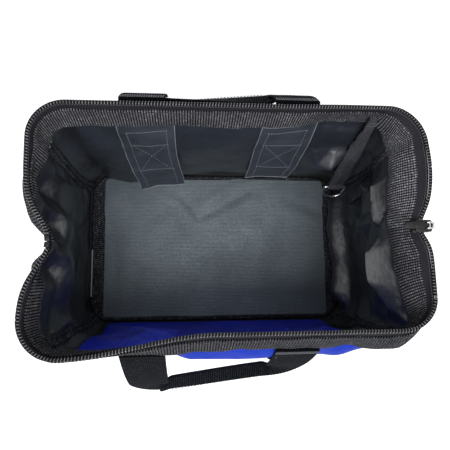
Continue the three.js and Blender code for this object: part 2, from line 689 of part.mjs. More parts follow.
// Joined tail of the zip, sewn down outside the right end, and the stop across it
const tailTop = BAND_TOP - GAP;
const tailCuts = between(SPANS.right, SLIDER_S - TAIL_WIDTH / 2, SLIDER_S + TAIL_WIDTH / 2);
const tailLevels = between(LEVELS, tailTop - TAIL_LENGTH, tailTop);
const tailFace = OUTER_FACE - BAND - GAP;
const tail = shellSheet(tailCuts, tailLevels, tailFace - TAIL, tailFace);
addPiece("base", "zip_tail", "zip_tape", tail);
const stopCuts = between(SPANS.right, SLIDER_S - STOP_WIDTH / 2, SLIDER_S + STOP_WIDTH / 2);
const stopFace = tailFace - TAIL - GAP;
const stopLevels = [tailTop - STOP_DROP - STOP_HEIGHT, tailTop - STOP_DROP];
const bottomStop = shellSheet(stopCuts, stopLevels, stopFace - STOP_THICKNESS, stopFace);
addPiece("base", "zip_bottom_stop", "metal", bottomStop);

// Ring strap: doubled webbing that hangs from the back wall's band and ends in a loop
const strapTop = shellPoint(alongWall(1, STRAP_TOP_X), PANEL_TOP, INNER_FACE + BAND + GAP);
const strapStart = new THREE.Vector3(STRAP_TOP_X, strapTop.y - STRAP / 2, strapTop.z);
const strapEnd = new THREE.Vector3(STRAP_LOOP_X, STRAP_LOOP_Y, STRAP_LOOP_HEIGHT);
const strapCrossing = new THREE.Vector3(
  STRAP_LOOP_X,
  (strapStart.y + strapEnd.y) / 2,
  strapStart.z - STRAP_CROSSES,
);
const strapRoute = new THREE.QuadraticBezierCurve3(strapStart, strapCrossing, strapEnd);
const loopHole = RING_WIRE + RING_LOOP_CLEARANCE;
const strapLength = strapRoute.getLength();
const strapShare = 1 - loopHole / strapLength; // the band stops at the edge of the loop's hole
const STRAP_STEPS = 12;
const strapBand = placedBlock(STRAP_STEPS, 1, (i, j, k) => {
  const share = (strapShare * i) / STRAP_STEPS;
  const at = strapRoute.getPointAt(share);
  const widened = ease((share * strapLength) / STRAP_WIDENS);
  const width = THREE.MathUtils.lerp(STRAP_TOP_WIDTH, STRAP_WIDTH, widened);
  return new THREE.Vector3(at.x + (k - 0.5) * width, at.y + (j - 0.5) * STRAP, at.z);
});
function rodThroughLoop(radius, length) {
  const rod = new THREE.CylinderGeometry(radius, radius, length, ROUND_SIDES);
  return toSolid(rod.rotateZ(Math.PI / 2).translate(...strapEnd.toArray()));
}
const strap = toSolid(strapBand)
  .add(rodThroughLoop(loopHole + LOOP_WALL, STRAP_WIDTH))
  .subtract(rodThroughLoop(loopHole, 2 * STRAP_WIDTH));
addPiece("ring_strap", "ring_strap", "webbing", fromSolid(strap));

// D-ring: a straight bar through the strap's loop and a bow below it
const RING_POINTS = 32;
const WIRE_SIDES = 8;
const ringPlan = new THREE.Shape();
ringPlan.moveTo(-RING_HALF_WIDTH + RING_CORNER, 0);
ringPlan.lineTo(RING_HALF_WIDTH - RING_CORNER, 0);
ringPlan.quadraticCurveTo(RING_HALF_WIDTH, 0, RING_HALF_WIDTH, -RING_CORNER);
const bow = [-RING_DEPTH, RING_CORNER, -RING_DEPTH, 0, -RING_DEPTH];
ringPlan.bezierCurveTo(RING_HALF_WIDTH, ...bow);
const bowBack = [-RING_CORNER, -RING_DEPTH, -RING_HALF_WIDTH, -RING_DEPTH];
ringPlan.bezierCurveTo(...bowBack, -RING_HALF_WIDTH, -RING_CORNER);
ringPlan.quadraticCurveTo(-RING_HALF_WIDTH, 0, -RING_HALF_WIDTH + RING_CORNER, 0);
const ringGeometry = new THREE.TorusGeometry(RING_DEPTH, RING_WIRE, WIRE_SIDES, RING_POINTS);
const ringPosition = ringGeometry.getAttribute("position");
for (let i = 0; i <= WIRE_SIDES; i++) {
  for (let j = 0; j <= RING_POINTS; j++) {
    const share = (j % RING_POINTS) / RING_POINTS;
    const at = ringPlan.getPointAt(share);
    const tangent = ringPlan.getTangentAt(share);
    const angle = ((i % WIRE_SIDES) / WIRE_SIDES) * 2 * Math.PI;
    const out = RING_WIRE * Math.cos(angle);
    ringPosition.setXYZ(
      i * (RING_POINTS + 1) + j,
      strapEnd.x + at.x + tangent.y * out,
      strapEnd.y - RING_WIRE * Math.sin(angle),
      strapEnd.z + at.y - tangent.x * out,
    );
  }
}
addPiece("d_ring", "d_ring", "metal", ringGeometry);

export default bag;
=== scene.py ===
"""Looks for the zippered tool bag: a soft shell of coated polyester, seen straight down into its
open mouth. Places are worked out in millimetres, and meshes are made in metres."""

import math

import bpy
import numpy as np
from mathutils import Matrix, Vector, geometry


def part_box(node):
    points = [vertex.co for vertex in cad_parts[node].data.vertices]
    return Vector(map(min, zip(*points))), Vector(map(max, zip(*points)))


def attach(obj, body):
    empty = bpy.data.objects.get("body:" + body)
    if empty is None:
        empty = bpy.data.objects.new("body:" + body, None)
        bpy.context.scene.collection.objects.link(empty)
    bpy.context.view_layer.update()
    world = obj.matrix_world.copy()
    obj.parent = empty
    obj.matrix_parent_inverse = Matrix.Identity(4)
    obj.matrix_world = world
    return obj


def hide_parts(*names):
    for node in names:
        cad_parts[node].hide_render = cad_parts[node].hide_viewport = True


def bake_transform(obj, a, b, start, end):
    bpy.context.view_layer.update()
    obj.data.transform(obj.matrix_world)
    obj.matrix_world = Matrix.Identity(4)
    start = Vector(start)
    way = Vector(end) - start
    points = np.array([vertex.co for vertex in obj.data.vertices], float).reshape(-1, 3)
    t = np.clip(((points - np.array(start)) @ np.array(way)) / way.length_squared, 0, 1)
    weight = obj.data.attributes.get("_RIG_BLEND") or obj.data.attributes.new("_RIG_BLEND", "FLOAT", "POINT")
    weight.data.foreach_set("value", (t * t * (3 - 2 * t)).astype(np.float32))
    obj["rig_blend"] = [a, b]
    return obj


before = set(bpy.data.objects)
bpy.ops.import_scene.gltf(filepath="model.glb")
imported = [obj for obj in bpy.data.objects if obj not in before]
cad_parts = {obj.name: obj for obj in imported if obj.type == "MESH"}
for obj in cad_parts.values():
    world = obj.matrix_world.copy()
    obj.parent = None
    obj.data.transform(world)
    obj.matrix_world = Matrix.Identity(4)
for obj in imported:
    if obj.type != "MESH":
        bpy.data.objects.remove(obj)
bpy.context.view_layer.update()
MM = 0.001
scene = bpy.context.scene

# Sizes that the frame gives
bottom_low, bottom_high = (np.array(corner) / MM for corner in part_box("bottom_panel"))
HALF_LENGTH = (bottom_high[0] - bottom_low[0]) / 2
HALF_WIDTH = (bottom_high[1] - bottom_low[1]) / 2
BAG_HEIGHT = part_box("back_zip_coil")[1].z / MM

# Sizes repeated from the part's source
CORNER_RADIUS = 30
FABRIC = 1.5
GAP = 0.3
FRONT_BELLY = 16
BACK_SAG = 12
RIGHT_END_SAG = 12
LEFT_END_SAG = 10
RIM_LEAN_HEIGHT = 35
RIM_LEAN_MIDDLE = 10
RIM_FLARE_LEFT = 6.5
RIM_LEAN_RUN = 120
SLIDER_Y = -3
SLIDER_PINCH = 3
SLIDER_DIP = 11
SLIDER_PINCH_REACH = 16
LEFT_PINCH_Y = -14
LEFT_PINCH = 18
LEFT_DIP = 8
LEFT_PINCH_REACH = 26
WALL_HINGE_HEIGHT = 12
BOTTOM_SHEET = 1.5
BOARD_THICKNESS = 2.5
BAND = 1.3
BAND_WIDTH = 24
TAPE = 0.9
TAPE_SHOWS = 6
TAPE_SEAM = 8
COIL_HEIGHT = 3.5
COIL_MIDDLE_DEPTH = 0.75
BINDING = 1.2
BINDING_WIDTH = 14
BACK_BINDING_IN_CORNER = 10
PATCH = 1
PATCH_WIDTH = 52
PATCH_LENGTH = 144
WEBBING = 1.5
WEBBING_WIDTH = 38
LEG_FOOT = 16
LEG_STEP = 5
BACK_LEG_BELOW_ZIP = 4
HANDLE_CENTRE_X = -9
HANDLE_HALF = 65.5
HANDLE_BEND = 22
HANDLE_PIVOT_CLEARANCE = 1.2
GRIP_WIDTH = 19
TAIL_WIDTH = 14
TAIL_LENGTH = 26
TAIL = 1.4
STOP_WIDTH = 6
STOP_HEIGHT = 5
STOP_THICKNESS = 1.4
STOP_DROP = 5
TOP_STOP_LENGTH = 4
TOP_STOP_WIDTH = 4.4
STRAP_TOP_WIDTH = 8
STRAP_WIDENS = 75
STRAP_CROSSES = 60
STRAP_TOP_FROM_END = 36
STRAP_LOOP_FROM_END = 24
STRAP_LOOP_FROM_BACK = 32.5
STRAP_LOOP_HEIGHT = 76
RING_WIRE = 1.6
RING_HALF_WIDTH = 13
RING_CORNER = 3
RING_DEPTH = 18

WALL_HALF = HALF_LENGTH - CORNER_RADIUS
END_HALF = HALF_WIDTH - CORNER_RADIUS
QUARTER_ARC = math.pi / 2 * CORNER_RADIUS
CORNER_END = WALL_HALF + QUARTER_ARC
BACK_CORNER = CORNER_END + 2 * END_HALF
BACK_WALL = BACK_CORNER + QUARTER_ARC
HALF_GIRTH = BACK_WALL + WALL_HALF
SLIDER_S = CORNER_END + END_HALF + SLIDER_Y
LEFT_SEAM_S = CORNER_END + END_HALF + LEFT_PINCH_Y
COIL_BOTTOM = BAG_HEIGHT - COIL_HEIGHT
TAPE_TOP = COIL_BOTTOM - GAP
BAND_TOP = TAPE_TOP - TAPE_SHOWS
BAND_BOTTOM = BAND_TOP - BAND_WIDTH
PANEL_TOP = BAND_TOP - TAPE_SEAM
WALL_BOTTOM = WALL_HINGE_HEIGHT + GAP
INNER_FACE = FABRIC + GAP
OUTER_FACE = -GAP
OVER_BAND_FACE = OUTER_FACE - BAND - GAP
WALL_FOLD_LEVEL = BAND_BOTTOM - GAP
BACK_LEG_TOP = BAG_HEIGHT - BACK_LEG_BELOW_ZIP
FALL_SCALE = 256 / 27

# What only the looks have
RIGHT_RIM_FALL = 12  # the right end's band leans further in than the frame's
LEFT_RIM_BULGE = 15  # below the zip the left end stands out, and hides its band from above
RIGHT_RIM_BULGE = 4  # the right end's rim stands out behind the slider
RIGHT_FOOT = 16  # the right end runs out onto the floor
STRAP_CLEARS_END = 4.5  # the ring's strap hangs this much further from the right end, halfway down
FRONT_BULGE = 5  # the front stands out under its band
FRONT_HOLLOW = 9  # and falls in at its ends
BACK_BULGE = 9  # so does the back, at its right
RIB_PITCH = 2.3  # the webbing's weft; real webbing has 1.2, which is too fine to show
RIB_HEIGHT = 0.35
HANDLE_RIB_PITCH = 2.2
HANDLE_RIB_HEIGHT = 0.3
COIL_SIZES = {
    "Pitch": 2.5 * MM,  # measured in the photograph
    "Half height": 1.3 * MM,
    "Half width": 0.95 * MM,
    "Wire radius": 0.52 * MM,
}
TURN_LEAN = 14  # degrees that each turn of the coil leans along the zip
EDGE_BEND = 1.6  # the bands' lower edge waves by this much
EDGE_BEND_PITCH = 38
BINDING_RIDGE = 1.9
SEAM_HEIGHT = 1.3  # of the turned seams outside
SEAM_HALF = 1.5
SEAM_STITCHES = 3.4  # and how far beside them their stitches are
STITCH_PITCH = 3.2
STITCH_THREAD = 0.35
OVER_CLOTH = 0.35  # seams lie this far off the bands
CLOSING_FRONT = ((0, -0.008, 0.240), (0, -0.08285, 0.25536))  # where cloth starts to follow a wall
CLOSING_BACK = ((0, -0.008, 0.240), (0, 0.07807, 0.26061))


def ease(t):
    t = np.clip(t, 0, 1)
    return t * t * (3 - 2 * t)


def bell(t):
    return np.exp(-t * t)


def outline(distance):
    """The plan of the shell's outer face, walked anticlockwise from the middle of the front: the
    point at a distance along it, and the unit direction into the bag."""
    s = np.where(distance > HALF_GIRTH, distance - 2 * HALF_GIRTH, distance)
    side = np.where(s < 0, -1.0, 1.0)
    s = np.abs(s)
    first = np.clip((s - WALL_HALF) / CORNER_RADIUS, 0, math.pi / 2)
    second = np.clip((s - BACK_CORNER) / CORNER_RADIUS, 0, math.pi / 2)
    x = np.minimum(s, WALL_HALF) - np.maximum(s - BACK_WALL, 0)
    x = x + CORNER_RADIUS * (np.sin(first) - 1 + np.cos(second))
    y = np.clip(s - CORNER_END, 0, 2 * END_HALF) - HALF_WIDTH
    y = y + CORNER_RADIUS * (1 - np.cos(first) + np.sin(second))
    return side * x, y, -side * np.sin(first + second), np.cos(first + second)


def soften(x, y, z):
    """Moves points of the stiff box to where the soft bag holds them, as the frame does."""
    rise = np.clip((z - WALL_HINGE_HEIGHT) / (BAG_HEIGHT - WALL_HINGE_HEIGHT), 0, 1)
    side = y / HALF_WIDTH
    end = ease((np.abs(x) - WALL_HALF) / CORNER_RADIUS)
    bow = np.sin(math.pi * rise)
    lean = ease((z - BAG_HEIGHT + RIM_LEAN_HEIGHT) / RIM_LEAN_HEIGHT)
    along = ease((x + WALL_HALF) / RIM_LEAN_RUN)
    rim_shift = along * (RIM_LEAN_MIDDLE + RIM_FLARE_LEFT) - RIM_FLARE_LEFT
    front = -FRONT_BELLY * bow + rim_shift * lean
    back = -BACK_SAG * bow
    fall = FALL_SCALE * rise**3 * (1 - rise) * (1 - side * side) * end
    rim = rise**4 * end
    right = bell((y - SLIDER_Y) / SLIDER_PINCH_REACH) * rim
    left = bell((y - LEFT_PINCH_Y) / LEFT_PINCH_REACH) * rim
    dx = np.where(
        x > 0,
        -RIGHT_END_SAG * fall - SLIDER_PINCH * right,
        LEFT_END_SAG * fall + LEFT_PINCH * left,
    )
    dz = np.where(x > 0, -SLIDER_DIP * right, -LEFT_DIP * left)
    dy = np.where(y < 0, -side * front, side * back)
    return np.stack([x + dx, y + dy, z + dz], -1)


class Creases:
    """Straight-sided facets between points of given height, as crushed coated cloth has."""

    def __init__(self, points):
        points = np.array(points, float)
        flat = [Vector(point[:2]) for point in points]
        corners, _, triangles = geometry.delaunay_2d_cdt(flat, [], [], 0, 0.001)[:3]
        corners = np.array([list(corner) for corner in corners])
        nearest = [np.argmin(np.sum((points[:, :2] - c) ** 2, 1)) for c in corners]
        self.triangles = [(corners[list(t)], points[nearest][list(t), 2]) for t in triangles]

    def height(self, u, v):
        found = np.zeros(np.broadcast(u, v).shape)
        for ((ax, ay), (bx, by), (cx, cy)), heights in self.triangles:
            area = (bx - ax) * (cy - ay) - (cx - ax) * (by - ay)
            second = ((u - ax) * (cy - ay) - (cx - ax) * (v - ay)) / area
            third = ((bx - ax) * (v - ay) - (u - ax) * (by - ay)) / area
            first = 1 - second - third
            inside = (first >= 0) & (second >= 0) & (third >= 0)
            height = first * heights[0] + second * heights[1] + third * heights[2]
            found = np.where(inside, height, found)
        return found


def scattered(seed, low, high, spacing, size):
    """Seeded points of random height all over a rectangle, for fine crumpling."""
    chance = np.random.default_rng(seed)
    across = np.arange(low[0], high[0] + spacing, spacing)
    up = np.arange(low[1], high[1] + spacing, spacing)
    u, v = (grid.ravel() for grid in np.meshgrid(across, up))
    u = u + chance.uniform(-0.4, 0.4, u.size) * spacing
    v = v + chance.uniform(-0.4, 0.4, v.size) * spacing
    return np.stack([u, v, chance.uniform(-size, size, u.size)], 1)


# Folds pushed into the ends: place along the end, height, and depth into the bag
RIGHT_END_FOLDS = Creases(
    [
        (-120, -10, 0), (120, -10, 0), (-120, 260, 0), (120, 260, 0),
        (-96, 30, 1), (-60, 30, 2), (-20, 30, 1), (20, 30, 2), (60, 30, 0), (90, 30, 0),
        (-90, 60, -2), (-55, 66, -3), (-20, 70, -1), (10, 64, 1), (44, 80, 0), (80, 80, 0),
        (-76, 100, 5), (-58, 112, -3), (-34, 104, -2), (-12, 116, -2), (2, 104, 0), (10, 98, 6),
        (24, 100, 3), (36, 100, 0), (42, 110, 19), (56, 104, -1), (70, 116, -2), (88, 110, 2),
        (-86, 140, 2), (-64, 148, 7), (-44, 140, -2), (-24, 146, 0), (-8, 150, -1), (3, 140, 0),
        (10, 146, 19), (26, 138, 8), (34, 130, 0), (47, 122, 0), (60, 146, 13), (74, 132, -1),
        (50, 136, 2), (65, 155, 0), (80, 168, 3), (84, 178, 0), (90, 150, 0),
        (-76, 172, 0), (-62, 170, -2), (-42, 168, -1), (-22, 168, -1), (-6, 170, -3), (3, 172, 0),
        (9, 170, 0), (22, 172, 0), (40, 170, -2), (54, 176, -2),
        (-80, 190, 0), (-64, 188, 12), (-44, 184, 22), (-20, 184, 21), (-5, 190, 10), (1, 188, 0),
        (8, 188, 14), (24, 189, 17), (44, 190, 17), (56, 192, 5), (76, 196, 2),
        (-84, 206, 0), (-50, 205, 0), (-14, 205, 0), (20, 203, 0), (52, 204, 0), (85, 206, 0),
    ]
)
LEFT_END_FOLDS = Creases(
    [
        (-120, -10, 0), (120, -10, 0), (-120, 260, 0), (120, 260, 0),
        (-100, 30, 1), (-50, 30, 2), (0, 30, 1), (50, 30, 0), (90, 30, 0),
        (-95, 70, -3), (-60, 84, -4), (-30, 74, -3), (0, 84, -3), (40, 80, -2), (80, 80, 0),
        (-90, 116, -2), (-50, 126, 0), (-10, 124, -2), (26, 112, -1), (60, 124, 2), (85, 120, 0),
        (-92, 148, 3), (-72, 150, 14), (-54, 152, 12), (-36, 160, 17), (-22, 172, 15),
        (-12, 160, 3), (4, 148, 9), (14, 168, 8), (30, 156, -3), (56, 166, 0), (84, 160, 0),
        (-60, 172, -2), (-40, 180, 0), (-10, 184, -2), (6, 184, 0), (22, 190, 7), (36, 206, 5),
        (-90, 190, -2), (-50, 194, -2), (-20, 196, 0), (8, 200, -2), (36, 184, -2), (62, 196, -2),
        (64, 222, 5), (40, 224, 0), (88, 200, 0), (-60, 226, 0), (0, 226, 0),
    ]
)
BACK_WALL_FOLDS = Creases(
    [
        (-108, 190, 0), (-124, 172, 6), (-92, 158, -2), (-60, 150, 3), (-8, 160, 3), (30, 150, -2),
        (-170, -10, 0), (170, -10, 0), (-170, 260, 0), (170, 260, 0),
        (60, 60, 0), (100, 60, 2), (140, 60, 0), (70, 110, 2), (92, 104, 0), (112, 108, 7),
        (136, 110, 2), (82, 142, 0), (98, 142, 15), (112, 147, 23), (128, 142, 8), (88, 166, 1),
        (112, 164, 0), (130, 162, 1), (60, 170, 0), (100, 190, 3), (124, 190, 4), (60, 205, 0),
        (140, 205, 0), (20, 120, 0), (-30, 90, 0), (-96, 108, 5), (-128, 96, 3), (-110, 64, 9),
        (-134, 40, 9), (-110, 32, 14), (-84, 34, 11), (-56, 32, 4), (-20, 30, 0), (30, 30, 0),
        (-84, 80, 1), (-70, 130, 2), (-112, 150, 0), (-140, 140, 1), (-90, 190, 2), (-40, 190, 0),
    ]
)
FRONT_WALL_FOLDS = Creases(
    [
        (-170, -10, 0), (170, -10, 0), (-170, 260, 0), (170, 260, 0),
        (-140, 60, 0), (-122, 96, 5), (-134, 130, 0), (-104, 118, -1), (-92, 84, 7), (-78, 126, 6),
        (-100, 160, 0), (-64, 96, 0), (-52, 140, 4), (-40, 110, -1), (-70, 170, 0), (-20, 130, 3),
        (0, 90, 0), (14, 124, 4), (34, 96, 0), (46, 140, 2), (76, 100, 5), (64, 150, 0),
        (92, 140, 0), (110, 104, 6), (124, 140, 2), (140, 100, 0), (0, 180, 0), (100, 180, 0),
    ]
)
END_CRUMPLE = Creases(scattered(11, (-110, 10), (110, 235), 17, 2.1))
WALL_CRUMPLE = Creases(scattered(5, (-150, 10), (150, 235), 30, 1.6))
RIM_PUCKERS = Creases(scattered(23, (-175, 195), (175, 245), 12, 0.9))


def folds(s, z):
    """How far the cloth is creased into the bag from its smooth form."""
    x, y, _, _ = outline(s)
    low = ease((z - 14) / 16)
    below_rim = low * (1 - ease((z - 185) / 35))
    right = ease((x - 128) / 30)
    left = ease((-x - 128) / 30)
    ends = right + left
    back = (1 - ends) * (y > 0)
    front = (1 - ends) * (y < 0)
    depth = right * RIGHT_END_FOLDS.height(y, z) * low * (1 - 0.75 * ease((z - 195) / 30))
    depth = depth + left * LEFT_END_FOLDS.height(y, z) * low * (1 - ease((z - 195) / 30))
    depth = depth + ends * END_CRUMPLE.height(y, z) * below_rim
    # the front's crumpling isn't at the height of the back's
    depth = depth + (1 - ends) * WALL_CRUMPLE.height(x, z + np.sign(y) * 7) * below_rim
    depth = depth + back * BACK_WALL_FOLDS.height(x, z) * below_rim
    depth = depth - back * BACK_BULGE * bell((z - 200) / 25) * ease((x - 40) / 60)
    depth = depth + front * FRONT_WALL_FOLDS.height(x, z) * below_rim
    # the front stands out in its middle, in two places, and is drawn in above that
    out = ease((x + 56) / 26) * (1 - ease((x - 60) / 30)) + 1.5 * bell((x - 98) / 17)
    depth = depth - front * out * (FRONT_BULGE * bell((z - 172) / 26) - 3.5 * bell((z - 210) / 12))
    hollow = (ease((-34 - x) / 30) + ease((x - 76) / 30)) * ease((-y - 60) / 22)
    depth = depth + FRONT_HOLLOW * hollow * bell((z - 128) / 44) * low
    rim = ease((z - 190) / 15) * (1 - ease((z - 225) / 12))
    depth = depth + rim * (1 + right) * RIM_PUCKERS.height(np.where(ends > 0.5, y, x), z)
    foot = ease((52 - z) / 19) * (1 - ease((np.abs(y) - 56) / 30)) * (1 + 0.08 * np.sin(y / 14))
    depth = depth + right * RIGHT_FOOT * foot * low
    depth = depth - right * RIGHT_RIM_BULGE * bell((z - 240) / 16) * bell((y - 46) / 28)
    # the cloth behind the ring's strap stays back
    fall_foot = 95 + 58 * ease((y - 50) / 28)
    fall = ease((BAG_HEIGHT - 2 - z) / 27) * ease((z - fall_foot) / (185 - fall_foot))
    depth = depth + right * RIGHT_RIM_FALL * fall * ease((y + 85) / 55)
    # the left end's bulge is less where the zip draws it in
    bulge = ease((237 - z) / 26) * ease((z - 158) / 32) * ease((68 - y) / 30) * ease((y + 50) / 24)
    return depth - left * LEFT_RIM_BULGE * bulge * (1 - 0.7 * bell((y + 14) / 12))


def shell(s, z, depth):
    """A point of the soft shell: along its girth, at a height, and this far in from outside."""
    x, y, in_x, in_y = outline(s)
    depth = depth + folds(s, z)
    return soften(x + in_x * depth, y + in_y * depth, z)


def spread(start, end, pitch):
    return np.linspace(start, end, max(2, round(abs(end - start) / pitch) + 1))


def linear(code):
    """An sRGB hex colour as linear red, green, blue and alpha."""
    parts = [int(code[i : i + 2], 16) / 255 for i in (1, 3, 5)]
    return [p / 12.92 if p <= 0.04045 else ((p + 0.055) / 1.055) ** 2.4 for p in parts] + [1]


def add(tree, kind, settings=None, inputs=None):
    """Adds a node, sets its properties, and fills or links its inputs by name or number."""
    made = tree.nodes.new(kind)
    for name, value in (settings or {}).items():
        setattr(made, name, value)
    for name, value in (inputs or {}).items():
        if isinstance(value, bpy.types.Node):
            value = value.outputs[0]
        if isinstance(value, bpy.types.NodeSocket):
            tree.links.new(value, made.inputs[name])
        else:
            made.inputs[name].default_value = value
    return made


def maths(tree, operation, *values):
    return add(tree, "ShaderNodeMath", {"operation": operation}, dict(enumerate(values))).outputs[0]


MIX_A, MIX_B, MIX_RESULT = 6, 7, 2  # the colour sockets of a Mix node


def start_material(name):
    material = bpy.data.materials.new(name)
    material.use_nodes = True
    material.node_tree.nodes.clear()
    return material, material.node_tree


def wave(tree, along, pitch):
    """0 to 1 and back once in each pitch, in metres, of the socket along."""
    return maths(tree, "ABSOLUTE", maths(tree, "SINE", product(tree, along, math.pi / pitch)))


def cloth_axes(tree):
    """Sockets for the place on a piece of cloth, and for how far along and across it that is."""
    place = add(tree, "ShaderNodeUVMap", {"uv_map": "cloth"})
    axes = add(tree, "ShaderNodeSeparateXYZ", None, {0: place})
    return place.outputs[0], axes.outputs[0], axes.outputs[1]


def crossing(tree, pitch):
    """Threads that cross, this far apart in metres both ways."""
    _, along, across = cloth_axes(tree)
    return product(tree, wave(tree, along, pitch), wave(tree, across, pitch))


def noise(tree, size, detail=2):
    """Soft variation whose blotches are about size metres across."""
    place = add(tree, "ShaderNodeTexCoord").outputs["Object"]
    settings = {"Vector": place, "Scale": 1 / size, "Detail": detail}
    return add(tree, "ShaderNodeTexNoise", None, settings).outputs[0]


def between(tree, value, low, high, to_low=0.0, to_high=1.0):
    inputs = {0: value, 1: low, 2: high, 3: to_low, 4: to_high}
    return add(tree, "ShaderNodeMapRange", None, inputs).outputs[0]


def mix(tree, share, first, second):
    inputs = {0: share, MIX_A: first, MIX_B: second}
    return add(tree, "ShaderNodeMix", {"data_type": "RGBA"}, inputs).outputs[MIX_RESULT]


def shades(tree, value, low, high, first, second):
    """One hex colour where the value is low, and another where it is high."""
    return mix(tree, between(tree, value, low, high), linear(first), linear(second))


def product(tree, first, second):
    return maths(tree, "MULTIPLY", first, second)


def end_material(material, colour, rough, others, bumps=()):
    """Makes the surface, with bumps that are each a height and its depth in metres."""
    tree = material.node_tree
    surface = {"Base Color": colour, "Roughness": rough, **others}
    for height, depth in bumps:
        inputs = {"Height": height, "Distance": depth, "Strength": 1.0}
        if "Normal" in surface:
            inputs["Normal"] = surface["Normal"]
        surface["Normal"] = add(tree, "ShaderNodeBump", None, inputs).outputs[0]
    shader = add(tree, "ShaderNodeBsdfPrincipled", None, surface)
    add(tree, "ShaderNodeOutputMaterial", None, {"Surface": shader})
    return material


def mottled(name, colours, size, detail, tint, rough, others, depth=0):
    """Two colours in blotches of a size in metres, which make it rougher and may stand up.
    tint is where the blotches turn from one colour to the other, and rough where they turn from
    one roughness to the other, and these two."""
    material, tree = start_material(name)
    blotch = noise(tree, size, detail)
    colour = shades(tree, blotch, *tint, *colours)
    bumps = [(blotch, depth)] if depth else ()
    return end_material(material, colour, between(tree, blotch, *rough), others, bumps)


def oxford_weave(name, thread, shade, sheen):
    """Polyester oxford cloth, the bag's outside: a matt basket weave of flat yarns."""
    material, tree = start_material(name)
    # real yarns are 0.5 mm apart, drawn at 1.1 mm so that the weave shows
    weave = crossing(tree, 0.0011)
    dust = noise(tree, 0.03, 4)
    colour = shades(tree, weave, 0, 0.7, shade, thread)
    colour = mix(tree, between(tree, dust, 0.35, 0.75, 0, 0.25), colour, linear(shade))
    rough = between(tree, dust, 0.3, 0.7, 0.5, 0.66)
    others = {"IOR": 1.5, "Specular IOR Level": 0.08, "Sheen Weight": sheen, "Sheen Roughness": 0.4}
    return end_material(material, colour, rough, others, [(weave, 0.0002), (dust, 0.0008)])


def pvc_coat(name, base, worn, gloss, shine):
    """PVC coating, the bag's inside: smooth and glossy, with the weave faintly showing through."""
    material, tree = start_material(name)
    # the cloth's yarns are 0.5 mm apart, drawn at 1.2 mm
    weave = crossing(tree, 0.0012)
    fine = noise(tree, 0.006, 5)
    broad = noise(tree, 0.05, 3)
    colour = shades(tree, broad, 0.4, 0.75, base, worn)
    rough = between(tree, fine, 0.3, 0.75, gloss, gloss + 0.14)
    bumps = [(weave, 0.00004), (fine, 0.0006), (broad, 0.003)]
    return end_material(material, colour, rough, {"IOR": 1.6, "Specular IOR Level": shine}, bumps)


def ribbed_webbing(name, ridge, gap, fleck, pitch=RIB_PITCH):
    """Polypropylene webbing: ribs across it, their tops lighter and the gaps between them darker,
    which is painted light and shade, and lighter flecks on the tops, which are painted glints.
    """
    material, tree = start_material(name)
    _, along, across = cloth_axes(tree)
    ribs = wave(tree, along, pitch * MM)
    # warp threads, real ones 0.6 mm apart, drawn at 1.6 mm
    warp = wave(tree, across, 0.0016)
    beads = product(tree, ribs, between(tree, warp, 0.1, 0.8, 0.35, 1))
    spots = noise(tree, 0.0022, 1)
    broad = noise(tree, 0.02, 3)
    shown = between(tree, beads, 0.35, 0.8)
    # the ribs' tops painted lighter and the gaps between them darker: painted light and shade
    colour = mix(tree, shown, linear(gap), linear(ridge))
    # flecks on the ribs' tops: painted glints
    flecks = product(tree, between(tree, spots, 0.52, 0.68), shown)
    colour = mix(tree, product(tree, flecks, 0.6), colour, linear(fleck))
    colour = mix(tree, between(tree, broad, 0.4, 0.75, 0, 0.35), colour, linear(gap))
    rough = between(tree, beads, 0, 1, 0.75, 0.5)
    # cloth hardly shines, however low the light comes in
    others = {"IOR": 1.49, "Specular IOR Level": 0.02}
    return end_material(material, colour, rough, others, [(beads, 0.0003)])


def twill_tape(name, thread, gap):
    """Polyester zip tape: a close herringbone twill, flat and matt."""
    material, tree = start_material(name)
    _, along, across = cloth_axes(tree)
    # its lines are 1 mm apart, drawn at 1.6 mm
    lines = wave(tree, maths(tree, "ADD", along, across), 0.0016)
    spots = noise(tree, 0.004, 2)
    colour = mix(tree, lines, linear(gap), linear(thread))
    rough = between(tree, spots, 0.3, 0.7, 0.6, 0.75)
    others = {"IOR": 1.5, "Specular IOR Level": 0.06}
    return end_material(material, colour, rough, others, [(lines, 0.00015)])


def nylon_coil(name, base, edge):
    """Nylon monofilament of the zip's coil: smooth, grey, with a soft bright line on each turn."""
    others = {"IOR": 1.53, "Specular IOR Level": 0.35}
    rough = (0.3, 0.7, 0.28, 0.4)
    return mottled(name, (base, edge), 0.02, 2, (0.35, 0.7), rough, others)


